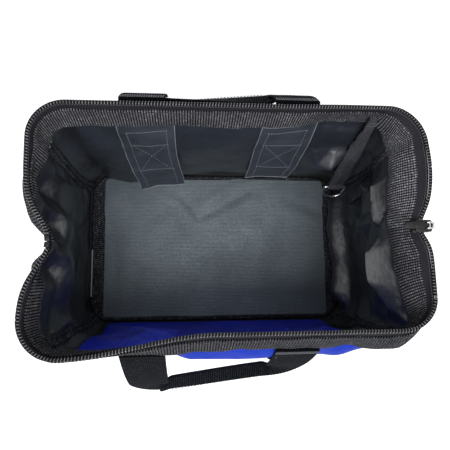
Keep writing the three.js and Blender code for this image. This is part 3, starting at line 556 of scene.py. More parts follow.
def ribbed_cover(name, line, gap, edge):
    """Woven polyester over the stiffener: fine raised lines along the bag, and a faint sheen. It
    is darker towards its edges: painted shade, where the walls keep light off it."""
    material, tree = start_material(name)
    place, along, across = cloth_axes(tree)
    # lines and picks are about 1 mm apart, drawn at twice that
    ribs = wave(tree, across, 0.0018)
    picks = wave(tree, along, 0.0021)
    streaks = add(tree, "ShaderNodeMapping", None, {"Vector": place, "Scale": (60, 900, 1)})
    uneven = add(tree, "ShaderNodeTexNoise", None, {"Vector": streaks, "Scale": 1.0, "Detail": 3})
    broad = noise(tree, 0.05, 4)
    grain = noise(tree, 0.0022, 3)
    threads = product(tree, ribs, between(tree, picks, 0, 1, 0.7, 1))
    # darker towards the cover's edges and corners: painted shade, where the walls keep light off the floor
    here = add(tree, "ShaderNodeTexCoord").outputs["Object"]
    shares = add(tree, "ShaderNodeVectorMath", {"operation": "MULTIPLY"}, {0: here, 1: (8.2, 11.5, 0)})
    away = add(tree, "ShaderNodeVectorMath", {"operation": "LENGTH"}, {0: shares}).outputs["Value"]
    colour = shades(tree, threads, 0.1, 0.9, gap, line)
    for value, low, high, most, tone in (
        (uneven, 0.4, 0.75, 0.45, edge),
        (grain, 0.4, 0.7, 0.5, gap),
        (broad, 0.4, 0.7, 0.4, gap),
        (away, 0.45, 1.2, 0.65, gap),
    ):
        colour = mix(tree, between(tree, value, low, high, 0, most), colour, linear(tone))
    rough = between(tree, broad, 0.3, 0.7, 0.5, 0.62)
    others = {"IOR": 1.5, "Sheen Weight": 0.2, "Sheen Roughness": 0.4}
    return end_material(material, colour, rough, others, [(threads, 0.00025), (broad, 0.002)])


def slate_vinyl(name, face, light):
    """Vinyl of the wall patches: matt slate with a fine leather grain."""
    material, tree = start_material(name)
    place = add(tree, "ShaderNodeTexCoord").outputs["Object"]
    grain = add(tree, "ShaderNodeTexVoronoi", None, {"Vector": place, "Scale": 900.0}).outputs[0]
    broad = noise(tree, 0.02, 3)
    colour = shades(tree, broad, 0.35, 0.75, face, light)
    rough = between(tree, broad, 0.3, 0.7, 0.42, 0.55)
    return end_material(material, colour, rough, {"IOR": 1.53}, [(grain, 0.00008), (broad, 0.001)])


def spun_thread(name, colour, shade):
    """Bonded polyester sewing thread: a slight shine on each stitch."""
    rough = (0.3, 0.7, 0.4, 0.55)
    return mottled(name, (shade, colour), 0.001, 1, (0, 1), rough, {"IOR": 1.5})


def nickel_plate(name, colour, dull):
    """Nickel-plated zinc and steel: bright, with fine scuffs that dull it in places."""
    rough = (0.35, 0.75, 0.2, 0.38)
    return mottled(name, (colour, dull), 0.002, 5, (0.45, 0.75), rough, {"Metallic": 1.0}, 0.00005)


def black_enamel(name, colour, worn):
    """Baked enamel on the zip's slider and puller: glossy black, greyer where it is rubbed."""
    others = {"IOR": 1.5, "Specular IOR Level": 0.3}
    rough = (0.3, 0.75, 0.3, 0.45)
    return mottled(name, (colour, worn), 0.003, 4, (0.5, 0.8), rough, others, 0.00005)


def fibre_board(name, colour, fleck):
    """Pressed board of the stiffener, and the pale line along its edge: flat grey with flecks."""
    material, tree = start_material(name)
    flecks = noise(tree, 0.0015, 4)
    colour = shades(tree, flecks, 0.4, 0.7, colour, fleck)
    return end_material(material, colour, 0.85, {"IOR": 1.5}, [(flecks, 0.0001)])


BLACK_OXFORD = oxford_weave("black_oxford", "#1d1d20", "#0e0e10", 0.12)
BLUE_OXFORD = oxford_weave("blue_oxford", "#0a38c0", "#07289c", 0.0)
BLACK_COAT = pvc_coat("black_pvc_coat", "#191c20", "#2a2d33", 0.3, 1.0)
BLUE_COAT = pvc_coat("blue_pvc_coat", "#0d20d0", "#1e38ee", 0.32, 0.8)
WALL_COAT = pvc_coat("back_wall_coat", "#23272d", "#30353c", 0.34, 0.7)
BLACK_WEBBING = ribbed_webbing("black_webbing", "#1c1f25", "#060709", "#3c3f47", HANDLE_RIB_PITCH)
# one webbing in two copies for the inner rim band: lighter for the back half, as painted light, and darker
# for the front half, as painted shade
BAND_WEBBING = ribbed_webbing("rim_band_webbing", "#79797e", "#0e0f15", "#c0c0c2")
PAINTED_SHADE_BAND_WEBBING = ribbed_webbing("front_rim_band_painted_shade", "#606065", "#0c0d12", "#a0a0a3")
OUTER_WEBBING = ribbed_webbing("outer_band_webbing", "#4e4f54", "#09090c", "#88898d")
STRAP_WEBBING = ribbed_webbing("strap_webbing", "#6c6d74", "#0b0c10", "#8c8d92", HANDLE_RIB_PITCH)
BINDING_TAPE = ribbed_webbing("binding_tape", "#484a51", "#0b0c0f", "#9c9fa6")
ZIP_TAPE = twill_tape("zip_tape_twill", "#37373c", "#1b1b1f")
NYLON = nylon_coil("nylon_coil", "#646466", "#8e8e90")
CORD = twill_tape("filler_cord", "#303135", "#141417")
COVER = ribbed_cover("ribbed_cover", "#a0acb1", "#49545b", "#b4c0c4")
VINYL = slate_vinyl("slate_vinyl", "#353a42", "#424851")
VINYL_EDGE = slate_vinyl("vinyl_cut_edge", "#7b8088", "#969ca4")
DARK_THREAD = spun_thread("dark_thread", "#2e2e33", "#17171a")
PALE_THREAD = spun_thread("pale_thread", "#85888f", "#5b5e64")
TAPE_THREAD = spun_thread("tape_thread", "#6c6d72", "#3c3d42")
BLUE_THREAD = spun_thread("blue_thread", "#2b4fd8", "#132d96")
NICKEL = nickel_plate("nickel_plate", "#dededb", "#a8a8a6")
ENAMEL = black_enamel("black_enamel", "#101012", "#2b2b2e")
PALE_EDGE = fibre_board("pale_board_edge", "#a9aaa8", "#c9cac8")
BOARD = fibre_board("fibre_board", "#4a4744", "#5f5b55")


def grid_quads(rows, columns, start, flip):
    """Faces of a grid of points, rows upwards and columns anticlockwise round the bag."""
    i, j = np.meshgrid(np.arange(columns - 1), np.arange(rows - 1))
    a = (start + j * columns + i).ravel()
    quads = np.stack([a, a + 1, a + 1 + columns, a + columns], 1)
    return quads[:, ::-1] if flip else quads


def put(made):
    """Puts an object into the scene."""
    scene.collection.objects.link(made)
    return made


def make_object(name, points, faces, finishes, finish_of_face=None):
    """A mesh object from points in millimetres."""
    mesh = bpy.data.meshes.new(name)
    faces = faces.tolist() if isinstance(faces, np.ndarray) else faces
    mesh.from_pydata((np.asarray(points) * MM).tolist(), [], faces)
    for finish in finishes:
        mesh.materials.append(finish)
    if finish_of_face is not None:
        mesh.polygons.foreach_set("material_index", finish_of_face)
    mesh.update()
    return put(bpy.data.objects.new(name, mesh))


def set_cloth_map(made, along, across):
    """Gives each point its distance along and across the cloth, in millimetres."""
    layer = made.data.uv_layers.new(name="cloth")
    corners = np.zeros(len(made.data.loops), int)
    made.data.loops.foreach_get("vertex_index", corners)
    place = np.stack([along, across], 1) * MM
    layer.data.foreach_set("uv", place[corners].ravel().astype(np.float32))


def smooth(made, angle=50):
    made.data.shade_smooth()
    made.data.set_sharp_from_angle(angle=math.radians(angle))
    return made


def cloth(name, outer, inner, along, across, finishes, ribs=(0, 0)):
    """A closed sheet between two grids of points. The first finish is outside and on the edges,
    the last inside. ribs says how much the ribs stand up outside and inside."""
    rows, columns = outer.shape[:2]
    count = rows * columns
    out, into = np.arange(2 * count).reshape(2, rows, columns)
    low = np.stack([out[0, :-1], into[0, :-1], into[0, 1:], out[0, 1:]], 1)
    high = np.stack([out[-1, :-1], out[-1, 1:], into[-1, 1:], into[-1, :-1]], 1)
    first = np.stack([out[:-1, 0], out[1:, 0], into[1:, 0], into[:-1, 0]], 1)
    last = np.stack([out[:-1, -1], into[:-1, -1], into[1:, -1], out[1:, -1]], 1)
    front = grid_quads(rows, columns, 0, False)
    back = grid_quads(rows, columns, count, True)
    faces = np.concatenate([front, low, high, first, last, back])
    finish_of_face = np.zeros(len(faces), int)
    finish_of_face[-len(back) :] = len(finishes) - 1
    points = np.concatenate([outer.reshape(-1, 3), inner.reshape(-1, 3)])
    made = make_object(name, points, faces, finishes, finish_of_face)
    along, across = (np.tile(np.broadcast_to(a, (rows, columns)).ravel(), 2) for a in (along, across))
    set_cloth_map(made, along, across)
    if any(ribs):
        for label, values in (("run", along * MM), ("rise", np.repeat(ribs, count))):
            layer = made.data.attributes.new(label, "FLOAT", "POINT")
            layer.data.foreach_set("value", values.astype(np.float32))
    return smooth(made)


def shell_cloth(name, columns, rows, outer, inner, finishes, ribs=(0, 0), turned=False):
    """A sheet that follows the bag's shell, between two depths in from its outer face."""
    s, z = np.broadcast_arrays(columns[None, :], rows if rows.ndim == 2 else rows[:, None])
    along, across = (z, s) if turned else (s, z)
    return cloth(name, shell(s, z, outer), shell(s, z, inner), along, across, finishes, ribs)


def start_tree(name, sizes):
    """A Geometry Nodes tree with named inputs, and the sockets that they come out of."""
    tree = bpy.data.node_groups.new(name, "GeometryNodeTree")
    kinds = {"Geometry": "Geometry", **dict.fromkeys(sizes, "Float"), "Finish": "Material"}
    for label, kind in kinds.items():
        tree.interface.new_socket(label, in_out="INPUT", socket_type="NodeSocket" + kind)
    tree.interface.new_socket("Geometry", in_out="OUTPUT", socket_type="NodeSocketGeometry")
    return tree, tree.nodes.new("NodeGroupInput").outputs


def end_tree(tree, shape, finish):
    """Makes the shape real and smooth, gives it its material, and ends the tree."""
    whole = add(tree, "GeometryNodeRealizeInstances", None, {"Geometry": shape})
    soft = add(tree, "GeometryNodeSetShadeSmooth", None, {"Geometry": whole})
    done = add(tree, "GeometryNodeSetMaterial", None, {"Geometry": soft, "Material": finish})
    add(tree, "NodeGroupOutput", None, {"Geometry": done})
    return tree


def webbing_ribs():
    """Raises ribs across webbing from its "run", its distance along, and "rise", how much."""
    tree, given = start_tree("Webbing ribs", ["Pitch", "Height"])
    run, rise = (
        add(tree, "GeometryNodeInputNamedAttribute", {"data_type": "FLOAT"}, {"Name": label}).outputs[0]
        for label in ("run", "rise")
    )
    angle = product(tree, maths(tree, "DIVIDE", run, given["Pitch"]), math.pi)
    shown = product(tree, maths(tree, "ABSOLUTE", maths(tree, "SINE", angle)), rise)
    high = product(tree, shown, given["Height"])
    normal = add(tree, "GeometryNodeInputNormal")
    offset = add(tree, "ShaderNodeVectorMath", {"operation": "SCALE"}, {0: normal, "Scale": high})
    inputs = {"Geometry": given["Geometry"], "Offset": offset}
    return end_tree(tree, add(tree, "GeometryNodeSetPosition", None, inputs), given["Finish"])


def along_line(name, make_one, sizes):
    """A tree that repeats one small shape along a line at a pitch, turned to follow the line."""
    tree, given = start_tree(name, ["Pitch", *sizes])
    curve = add(tree, "GeometryNodeMeshToCurve", None, {"Mesh": given["Geometry"]})
    upright = add(tree, "GeometryNodeSetCurveNormal", {"mode": "Z_UP"}, {"Curve": curve})
    inputs = {"Curve": upright, "Length": given["Pitch"]}
    points = add(tree, "GeometryNodeCurveToPoints", {"mode": "LENGTH"}, inputs).outputs
    one = make_one(tree, given)
    inputs = {"Points": points[0], "Instance": one, "Rotation": points["Rotation"]}
    return end_tree(tree, add(tree, "GeometryNodeInstanceOnPoints", None, inputs), given["Finish"])


def one_coil_turn(tree, given):
    """One turn of the zip's coil: a ring of wire, wider than high, that leans along the zip."""
    ring = add(tree, "GeometryNodeCurvePrimitiveCircle", None, {"Resolution": 12, "Radius": 1.0})
    halves = {0: given["Half height"], 1: given["Half width"], 2: 1.0}
    size = add(tree, "ShaderNodeCombineXYZ", None, halves)
    inputs = {"Geometry": ring, "Scale": size, "Rotation": (0.0, math.radians(TURN_LEAN), 0.0)}
    shaped = add(tree, "GeometryNodeTransform", None, inputs)
    inputs = {"Resolution": 6, "Radius": given["Wire radius"]}
    wire = add(tree, "GeometryNodeCurvePrimitiveCircle", None, inputs)
    return add(tree, "GeometryNodeCurveToMesh", None, {"Curve": shaped, "Profile Curve": wire})


def one_stitch(tree, given):
    """One stitch: a short rounded thread lying along the line."""
    ball = add(tree, "GeometryNodeMeshUVSphere", None, {"Segments": 6, "Rings": 5, "Radius": 1.0})
    halves = {0: given["Thread radius"], 1: given["Thread radius"], 2: given["Half length"]}
    size = add(tree, "ShaderNodeCombineXYZ", None, halves)
    return add(tree, "GeometryNodeTransform", None, {"Geometry": ball, "Scale": size})


RIBS = webbing_ribs()
COIL = along_line("Zip coil", one_coil_turn, ["Half height", "Half width", "Wire radius"])
STITCHES = along_line("Stitch row", one_stitch, ["Thread radius", "Half length"])


def keep_result(made, modifier):
    """Replaces an object's mesh by what its modifier makes of it."""
    evaluated = made.evaluated_get(bpy.context.evaluated_depsgraph_get())
    result = bpy.data.meshes.new_from_object(evaluated)
    made.modifiers.remove(modifier)
    made.data = result


def grow(made, tree, values):
    """Runs a Geometry Nodes tree on an object and keeps what it makes as a plain mesh."""
    modifier = made.modifiers.new(tree.name, "NODES")
    modifier.node_group = tree
    for item in tree.interface.items_tree:
        if item.in_out == "INPUT" and item.name in values:
            modifier[item.identifier] = values[item.name]
    keep_result(made, modifier)
    attributes = made.data.attributes
    for name in ("run", "rise"):
        if name in attributes:
            attributes.remove(attributes[name])
    return made


def rib(made, finish, height=RIB_HEIGHT, pitch=RIB_PITCH):
    return grow(made, RIBS, {"Pitch": pitch * MM, "Height": height * MM, "Finish": finish})


def lines_object(name, lines):
    """An object of bare edges through each line of points, in millimetres."""
    edges, start = [], 0
    for line in lines:
        edges += [(start + i, start + i + 1) for i in range(len(line) - 1)]
        start += len(line)
    mesh = bpy.data.meshes.new(name)
    mesh.from_pydata((np.concatenate(lines) * MM).tolist(), edges, [])
    return put(bpy.data.objects.new(name, mesh))


def stitch_rows(name, lines, finish, pitch=STITCH_PITCH, thread=STITCH_THREAD, share=0.4):
    """Stitches along lines of points: share is half of what each takes of the pitch."""
    sizes = {"Thread radius": thread * MM, "Half length": pitch * share * MM}
    return grow(lines_object(name, lines), STITCHES, {"Pitch": pitch * MM, "Finish": finish, **sizes})


def follow(made, half, slot_name, *nodes):
    """The cloth of one half of the bag bends between the base and that half's leaning wall."""
    start, end = CLOSING_FRONT if half == "front" else CLOSING_BACK
    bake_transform(made, "base", half + "_wall", start=start, end=end)
    if nodes:
        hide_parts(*nodes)
    return made


def carry(made, body, slot_name, *nodes):
    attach(made, body)
    if nodes:
        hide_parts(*nodes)
    return made


# Where the two halves of the rim run: from the left seam round the front to the slider, and back
RIM_HALVES = {
    "front": (-LEFT_SEAM_S + 0.2, SLIDER_S - 0.2),
    "back": (SLIDER_S + 0.2, 2 * HALF_GIRTH - LEFT_SEAM_S - 0.2),
}


def make_panels():
    """The front and back panels, and each end in two halves that meet in its middle."""
    back_end = BACK_WALL + 2 * WALL_HALF
    pieces = (
        ("front_wall_panel", "front", -WALL_HALF, WALL_HALF, "front_panel"),
        ("back_wall_panel", "back", BACK_WALL, back_end, "back_panel"),
        ("right_end_front", "front", WALL_HALF, SLIDER_S, "right_end_panel"),
        ("right_end_back", "back", SLIDER_S, BACK_WALL, "right_end_panel"),
        ("left_end_front", "front", -LEFT_SEAM_S, -WALL_HALF, "left_end_panel"),
        ("left_end_back", "back", back_end, 2 * HALF_GIRTH - LEFT_SEAM_S, "left_end_panel"),
    )
    walls = {
        "front_panel": (2.5, [BLUE_OXFORD, BLUE_COAT], "blue_shell"),
        "back_panel": (2.5, [BLACK_OXFORD, WALL_COAT], "black_shell"),
    }
    end_look = (1.8, [BLACK_OXFORD, BLACK_COAT], "black_shell")
    for name, half, start, end, node in pieces:
        pitch, finishes, slot_name = walls.get(node, end_look)
        rows = spread(WALL_BOTTOM, PANEL_TOP, pitch)
        panel = shell_cloth(name, spread(start, end, pitch), rows, 0, FABRIC, finishes)
        follow(panel, half, slot_name, node)


def make_rim():
    """The bands inside and outside, the zip's tape between them and its coil along the top."""
    chance = np.random.default_rng(3)
    for half, (start, end) in RIM_HALVES.items():
        columns = spread(start, end, 0.6)
        bends = spread(start, end, EDGE_BEND_PITCH)
        edge = np.interp(columns, bends, chance.uniform(-EDGE_BEND, EDGE_BEND, len(bends)))
        rows = BAND_TOP - (BAND_WIDTH + edge[None, :]) * (1 - np.linspace(0, 1, 8)[:, None])
        # the back half's band gets the lighter copy, painted light, and the front half's band the darker
        # copy, painted shade
        inside = BAND_WEBBING if half == "back" else PAINTED_SHADE_BAND_WEBBING
        for side, out, into, webbing, ribs in (
            ("inner", INNER_FACE, INNER_FACE + BAND, inside, (0, 1)),
            ("outer", OUTER_FACE - BAND, OUTER_FACE, OUTER_WEBBING, (1, 0)),
        ):
            name = half + "_" + side + "_rim_band"
            band = shell_cloth(name, columns, rows, out, into, [webbing], ribs)
            nodes = [wall + "_" + side + "_band" for wall in (half, "left_end", "right_end")]
            follow(rib(band, webbing), half, "webbing", *nodes)
        zips = [half + part + "_zip_" for part in ("", "_left", "_right")]
        tape_rows = spread(PANEL_TOP + GAP, TAPE_TOP, 2)
        tape_columns = spread(start, end, 1.5)
        tape = shell_cloth(half + "_zip_tape_run", tape_columns, tape_rows, GAP, GAP + TAPE, [ZIP_TAPE])
        follow(tape, half, "zip_tape", *[part + "tape" for part in zips])
        line = shell(spread(start + 6, end - 6, 1), COIL_BOTTOM + COIL_HEIGHT / 2, COIL_MIDDLE_DEPTH)
        coil = grow(lines_object(half + "_zip_coil_run", [line]), COIL, {**COIL_SIZES, "Finish": NYLON})
        follow(coil, half, "zip_coil", *[part + "coil" for part in zips])
        follow(tube(half + "_zip_filler_cord", line, 1.4, 12, CORD), half, "zip_coil")
        seam = shell(spread(start + 1, end - 1, 1), TAPE_TOP - 0.8, GAP + TAPE + 0.2)
        follow(stitch_rows(half + "_zip_seam", [seam], TAPE_THREAD, 2.2, 0.3), half, "zip_tape")
        seams = [
            shell(columns[2:-2], level[2:-2], depth)
            for level in (np.full(len(columns), BAND_TOP - 2.2), rows[0] + 2.6)
            for depth in (OUTER_FACE - BAND - OVER_CLOTH, INNER_FACE + BAND + OVER_CLOTH)
        ]
        follow(stitch_rows(half + "_band_stitches", seams, DARK_THREAD), half, "webbing")


# Bottom: the panel with its edge turned up into a hem over the walls' lower edge
TRAY_PROFILE = (
    (26, 0), (6, 0), (3.5, 0.3), (1.8, 1.2), (0.8, 2.6), (0.2, 4.5), (-0.5, 7.2), (-1.4, 8),
    (-1.7, 9.5), (-1.7, 14.8), (-1.4, 15.8), (-0.9, 16.2), (-0.4, 15.8), (-0.3, 11.3),
    (1.5, 11.3), (1.5, 3), (2.2, 1.8), (4, 1.5), (26, 1.5),
)


def make_bottom():
    """The tray that the profile makes round the bag, and the stitches of its hem."""
    s = spread(-HALF_GIRTH, HALF_GIRTH, 4)[:-1]
    rings = [shell(s, np.full(len(s), float(z)), depth) for depth, z in TRAY_PROFILE]
    points = np.concatenate(rings)
    tray = make_object("bottom_tray", points, ring_faces(len(rings), len(s)), [BLACK_OXFORD])
    rise = np.repeat(distances(np.array(TRAY_PROFILE)), len(s))
    # the weave lies flat in the middle, and follows the edge that turns up
    flat = (rise < 4) | (rise > 56)
    along = np.where(flat, points[:, 0], np.tile(s, len(rings)))
    set_cloth_map(tray, along, np.where(flat, points[:, 1], rise))
    carry(smooth(tray, 40), "base", "black_shell", "bottom_panel")
    hem = shell(spread(-HALF_GIRTH, HALF_GIRTH, 3), 10.2, -1.75)
    carry(stitch_rows("hem_stitches", [hem], DARK_THREAD), "base", "black_shell")


def rounded_plan(low, high, radius):
    """Points at z 0 round a rounded rectangle, anticlockwise from its front right corner. Every
    plan has the same number of points on each side and corner."""
    side, corner = (np.linspace(0, 1, count)[:-1] for count in (60, 12))
    corners = [(high[0], low[1]), (high[0], high[1]), (low[0], high[1]), (low[0], low[1])]
    middles = [(x - math.copysign(radius, x), y - math.copysign(radius, y)) for x, y in corners]
    points = []
    for i, (cx, cy) in enumerate(middles):
        angle = math.pi / 2 * (i - 1 + corner)
        nx, ny = middles[(i + 1) % 4]
        turn = math.pi / 2 * i
        start = np.array([cx, cy]) + np.array([radius * math.cos(turn), radius * math.sin(turn)])
        points.append(np.stack([cx + radius * np.cos(angle), cy + radius * np.sin(angle)], 1))
        points.append(start + side[:, None] * np.array([nx - cx, ny - cy]))
    points = np.concatenate([*points, points[0][:1]])
    return np.column_stack([points, np.zeros(len(points))])


BOARD_IN = FABRIC + 2
COVER_BOTTOM = BOTTOM_SHEET + GAP + BOARD_THICKNESS + GAP
COVER_EDGE_END = 16
COVER_EDGE = 5
FLOOR_BINDING = 1.7  # its thickness at the edges, doubled in its middle
FLOOR_BINDING_WIDTH = 14
COVER_TUCK = 1.5  # the cover's cloth goes this far under its binding
COVER_THICKNESS = 1.8
COVER_SWELL = 1.2  # in its middle
COVER_DEEPEST = 2.2
COVER_CREASES = Creases(scattered(31, (-160, -100), (160, 100), 46, 0.9))
# Soft creases of the cover: their two ends, how wide, and how high
COVER_VALLEYS = (
    ((-22, 40), (42, 74), 6, -2.2),
    ((-22, 40), (-44, 66), 6, -2.0),
    ((-10, 31), (54, 64), 7, 1.9),
    ((-36, 39), (-59, 64), 7, 1.4),
    ((-18, 56), (32, 84), 7, 1.4),
    ((-120, 66), (-108, 44), 6, -1.0),
    ((-20, 20), (-14, -30), 9, -0.8),
    ((98, 64), (140, 46), 8, -1.8),
    ((96, 40), (132, 22), 9, -0.8),
    ((-136, 30), (-130, -50), 10, -1.0),
)


def cover_top(x, y):
    """Height of the stiffener's cover: slightly loose, with soft diagonal creases."""
    swell = COVER_SWELL * np.cos(x / 150 * math.pi / 2) * np.cos(y / 92 * math.pi / 2)
    fold = 0
    for (ax, ay), (bx, by), width, height in COVER_VALLEYS:
        share = ((x - ax) * (bx - ax) + (y - ay) * (by - ay)) / ((bx - ax) ** 2 + (by - ay) ** 2)
        share = np.clip(share, 0, 1)
        away = np.hypot(x - ax - share * (bx - ax), y - ay - share * (by - ay))
        fold = fold + height * bell(away / width)
    fold = np.maximum(fold, -COVER_DEEPEST)
    return COVER_BOTTOM + COVER_THICKNESS + swell + COVER_CREASES.height(x, y) + fold


def make_floor():
    """The stiffener's cover, the binding sewn round it, and the board's edge where it shows."""
    x_end = HALF_LENGTH - BOARD_IN - COVER_EDGE_END + COVER_TUCK
    y_end = HALF_WIDTH - BOARD_IN - COVER_EDGE + COVER_TUCK
    x, y = np.meshgrid(spread(-x_end, x_end, 2.5), spread(-y_end, y_end, 2.5))
    top = np.stack([x, y, cover_top(x, y)], -1)
    under = np.stack([x, y, np.full_like(x, COVER_BOTTOM)], -1)
    carry(cloth("floor_cover_cloth", top, under, x, y, [COVER]), "base", "cover_fabric", "floor_cover")
    board = np.array([HALF_LENGTH - BOARD_IN, HALF_WIDTH - BOARD_IN])
    cover = np.array([x_end - COVER_TUCK, y_end - COVER_TUCK])
    outer = rounded_plan(-board, board, CORNER_RADIUS - BOARD_IN)
    inner = rounded_plan(-cover, cover, 4)
    share = np.linspace(0, 1, 9)[:, None, None]
    ring = outer[None] * (1 - share) + inner[None] * share
    share = share[..., 0]
    # the left end's binding has slipped in from the board's pale edge
    ring[..., 0] += (ring[..., 0] < -140) * bell((ring[..., 1] + 34) / 26) * (1 - share) * 1.8
    dome = np.sin(np.clip(share * 1.02 + 0.01, 0, 1) * math.pi) ** 0.5
    surface, under = ring.copy(), ring.copy()
    groove = 0.5 * bell((share - 0.8) / 0.06)
    surface[..., 2] = COVER_BOTTOM + FLOOR_BINDING + FLOOR_BINDING * dome - groove
    under[..., 2] = COVER_BOTTOM
    along = distances(outer[:, :2])[None]
    across = share * FLOOR_BINDING_WIDTH
    binding = cloth("floor_edge_binding", surface, under, along, across, [BINDING_TAPE])
    carry(binding, "base", "webbing", "floor_binding")
    seam = ring[6].copy()
    seam[:, 2] = COVER_BOTTOM + 3.1
    carry(stitch_rows("floor_binding_stitches", [seam], DARK_THREAD), "base", "webbing")
    # a thin pale line along the board's left edge
    edge_x = -HALF_LENGTH + BOARD_IN + 0.4
    pale = [(edge_x, y, COVER_BOTTOM + 2.2) for y in np.linspace(-64, -4, 20)]
    carry(tube("board_pale_edge_line", pale, 0.8, 8, PALE_EDGE), "base", "board")
    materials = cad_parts["stiffener_board"].data.materials
    materials.clear()
    materials.append(BOARD)


def make_seam_bindings():
    """Folded tape over the four upright seams: two ribbed ridges side by side."""
    first = WALL_HALF + QUARTER_ARC / 2
    second = BACK_CORNER + BACK_BINDING_IN_CORNER
    rows = spread(WALL_BOTTOM, WALL_FOLD_LEVEL, 0.7)
    columns = np.linspace(-1, 1, 19)
    ridges = np.abs(np.sin(math.pi * columns)) ** 0.7
    inner = INNER_FACE + BINDING * 0.7 + BINDING_RIDGE * ridges[None, :]
    for name, middle in {
        "front_right": first,
        "back_right": second,
        "front_left": -first,
        "back_left": 2 * HALF_GIRTH - second,
    }.items():
        across = middle + columns * BINDING_WIDTH / 2
        places = (across, rows, INNER_FACE, inner)
        tape = shell_cloth(name + "_seam_tape", *places, [BINDING_TAPE], (0, 1), True)
        half = name.split("_")[0]
        follow(rib(tape, BINDING_TAPE, HANDLE_RIB_HEIGHT), half, "webbing", name + "_seam_binding")


def wall_s(half, x):
    return x if half == "front" else BACK_WALL + WALL_HALF - x


# The patches inside: how far each one's lower end hangs off the wall, moves along it, and turns
PATCH_HANG = {
    "front_left": (1, 0, 0),
    "front_right": (1, 0, 0),
    "back_left": (17, -7, 0.2),
    "back_right": (7, -2, 0.12),
}


def patch_face(key, across, z, depth):
    """A point of a patch: its foot hangs free of the wall."""
    half, side_name = key.split("_")
    side = -1 if side_name == "left" else 1
    hang, shift, turn = PATCH_HANG[key]
    foot = ease((WALL_FOLD_LEVEL - 45 - z) / 95)
    z = z + turn * across * np.clip((WALL_FOLD_LEVEL - z) / 40, 0, 1)
    sway = -1 if half == "back" else 1
    s = wall_s(half, HANDLE_CENTRE_X + side * HANDLE_HALF) + sway * across + shift * foot
    return shell(s, z, depth + hang * foot)


def patch_line(key, ax, az, bx, bz):
    """Points just over a patch, from one place on it to another: across it and down from its top."""
    steps = len(spread(ax, bx, 2)) if abs(ax - bx) > abs(az - bz) else 40
    up = WALL_FOLD_LEVEL - np.linspace(az, bz, steps)
    return patch_face(key, np.linspace(ax, bx, steps), up, INNER_FACE + PATCH + 0.25)


def make_patches():
    """Each patch with the rows of stitches across it, the cross and rows along it, and its edge."""
    edge, foot = PATCH_WIDTH / 2 - 8, PATCH_LENGTH - 8
    cross_rows = [(-edge, down, edge, down) for down in (10, 38, 92)]
    long_rows = [(-edge + 3, 42, edge - 3, 88), (-edge + 3, 88, edge - 3, 42)]
    long_rows += [(side * edge, 12, side * edge, foot) for side in (-1, 1)]
    side, end = PATCH_WIDTH / 2 - 0.3, PATCH_LENGTH - 0.4
    rim_rows = [(-side, 1, -side, end), (-side, end, side, end), (side, end, side, 1)]
    looks = {
        "front": ("blue_shell", [BLUE_COAT], BLUE_THREAD),
        "back": ("vinyl", [VINYL_EDGE, VINYL], PALE_THREAD),
    }
    across = spread(-PATCH_WIDTH / 2, PATCH_WIDTH / 2, 2)
    up = spread(WALL_FOLD_LEVEL - PATCH_LENGTH, WALL_FOLD_LEVEL, 2)
    for key in PATCH_HANG:
        half = key.split("_")[0]
        slot_name, finishes, thread = looks[half]
        u, z = np.meshgrid(across if half == "front" else across[::-1], up)
        outer = patch_face(key, u, z, INNER_FACE)
        inner = patch_face(key, u, z, INNER_FACE + PATCH)
        follow(cloth(key + "_patch_sheet", outer, inner, z, u, finishes), half, slot_name, key + "_patch")
        for name, rows, sizes in (
            ("_patch_cross_rows", cross_rows, (2.4, 0.4)),
            ("_patch_long_rows", long_rows, (3.8, 0.5, 0.2)),
        ):
            lines = [patch_line(key, *row) for row in rows]
            follow(stitch_rows(key + name, lines, thread, *sizes), half, slot_name)
        first, second, third = (patch_line(key, *row) for row in rim_rows)
        rim = np.concatenate([first, second[1:], third[1:]])
        follow(tube(key + "_patch_cut_edge", rim, 0.45, 6, finishes[0]), half, slot_name)


def make_handle_legs():
    """The four legs, each with its roll at the fold, where the handle turns, and its stitches."""
    share = np.linspace(-1, 1, 20)
    reach = WEBBING_WIDTH / 2 - 3
    face = OUTER_FACE - WEBBING - 0.3
    for half, spec in HANDLES.items():
        rows = spread(LEG_FOOT, spec["fold"], 0.5)
        over = np.clip((rows - WALL_FOLD_LEVEL + LEG_STEP) / LEG_STEP, 0, 1)
        under = (OUTER_FACE + (spec["face"] - OUTER_FACE) * over)[:, None]
        edges = 0.5 * bell((1 - np.abs(share)) / 0.06)[None, :]
        for side_name, side in (("left", -1), ("right", 1)):
            name = half + "_" + side_name
            middle_x = HANDLE_CENTRE_X + side * HANDLE_HALF
            middle = wall_s(half, middle_x)
            columns = middle + share * WEBBING_WIDTH / 2
            places = (columns, rows, under - WEBBING + edges, under)
            leg = shell_cloth(name + "_leg_webbing", *places, [BLACK_WEBBING], (1, 0), True)
            leg = rib(leg, BLACK_WEBBING, HANDLE_RIB_HEIGHT, HANDLE_RIB_PITCH)
            follow(leg, half, "webbing", name + "_handle_leg")
            roll_x = middle_x + np.linspace(-1, 1, 9) * (WEBBING_WIDTH / 2 - 0.2)
            roll_y = shell(columns[10:11], spec["fold"], spec["face"] - WEBBING)[0, 1]
            roll_y = np.full(9, roll_y + spec["sign"] * 0.5)
            roll = np.stack([roll_x, roll_y, np.full(9, spec["fold"] - 0.4)], 1)
            follow(tube(name + "_fold_roll", roll, 1.5, 12, BLACK_WEBBING), half, "webbing")
            lines = [shell(middle + np.linspace(-reach, reach, 14), z, face) for z in (24, 60, 150)]
            up = spread(24, WALL_FOLD_LEVEL - 4, 3)
            lines += [shell(middle + edge, up, face) for edge in (-reach, reach)]
            follow(stitch_rows(name + "_leg_stitches", lines, DARK_THREAD), half, "webbing")


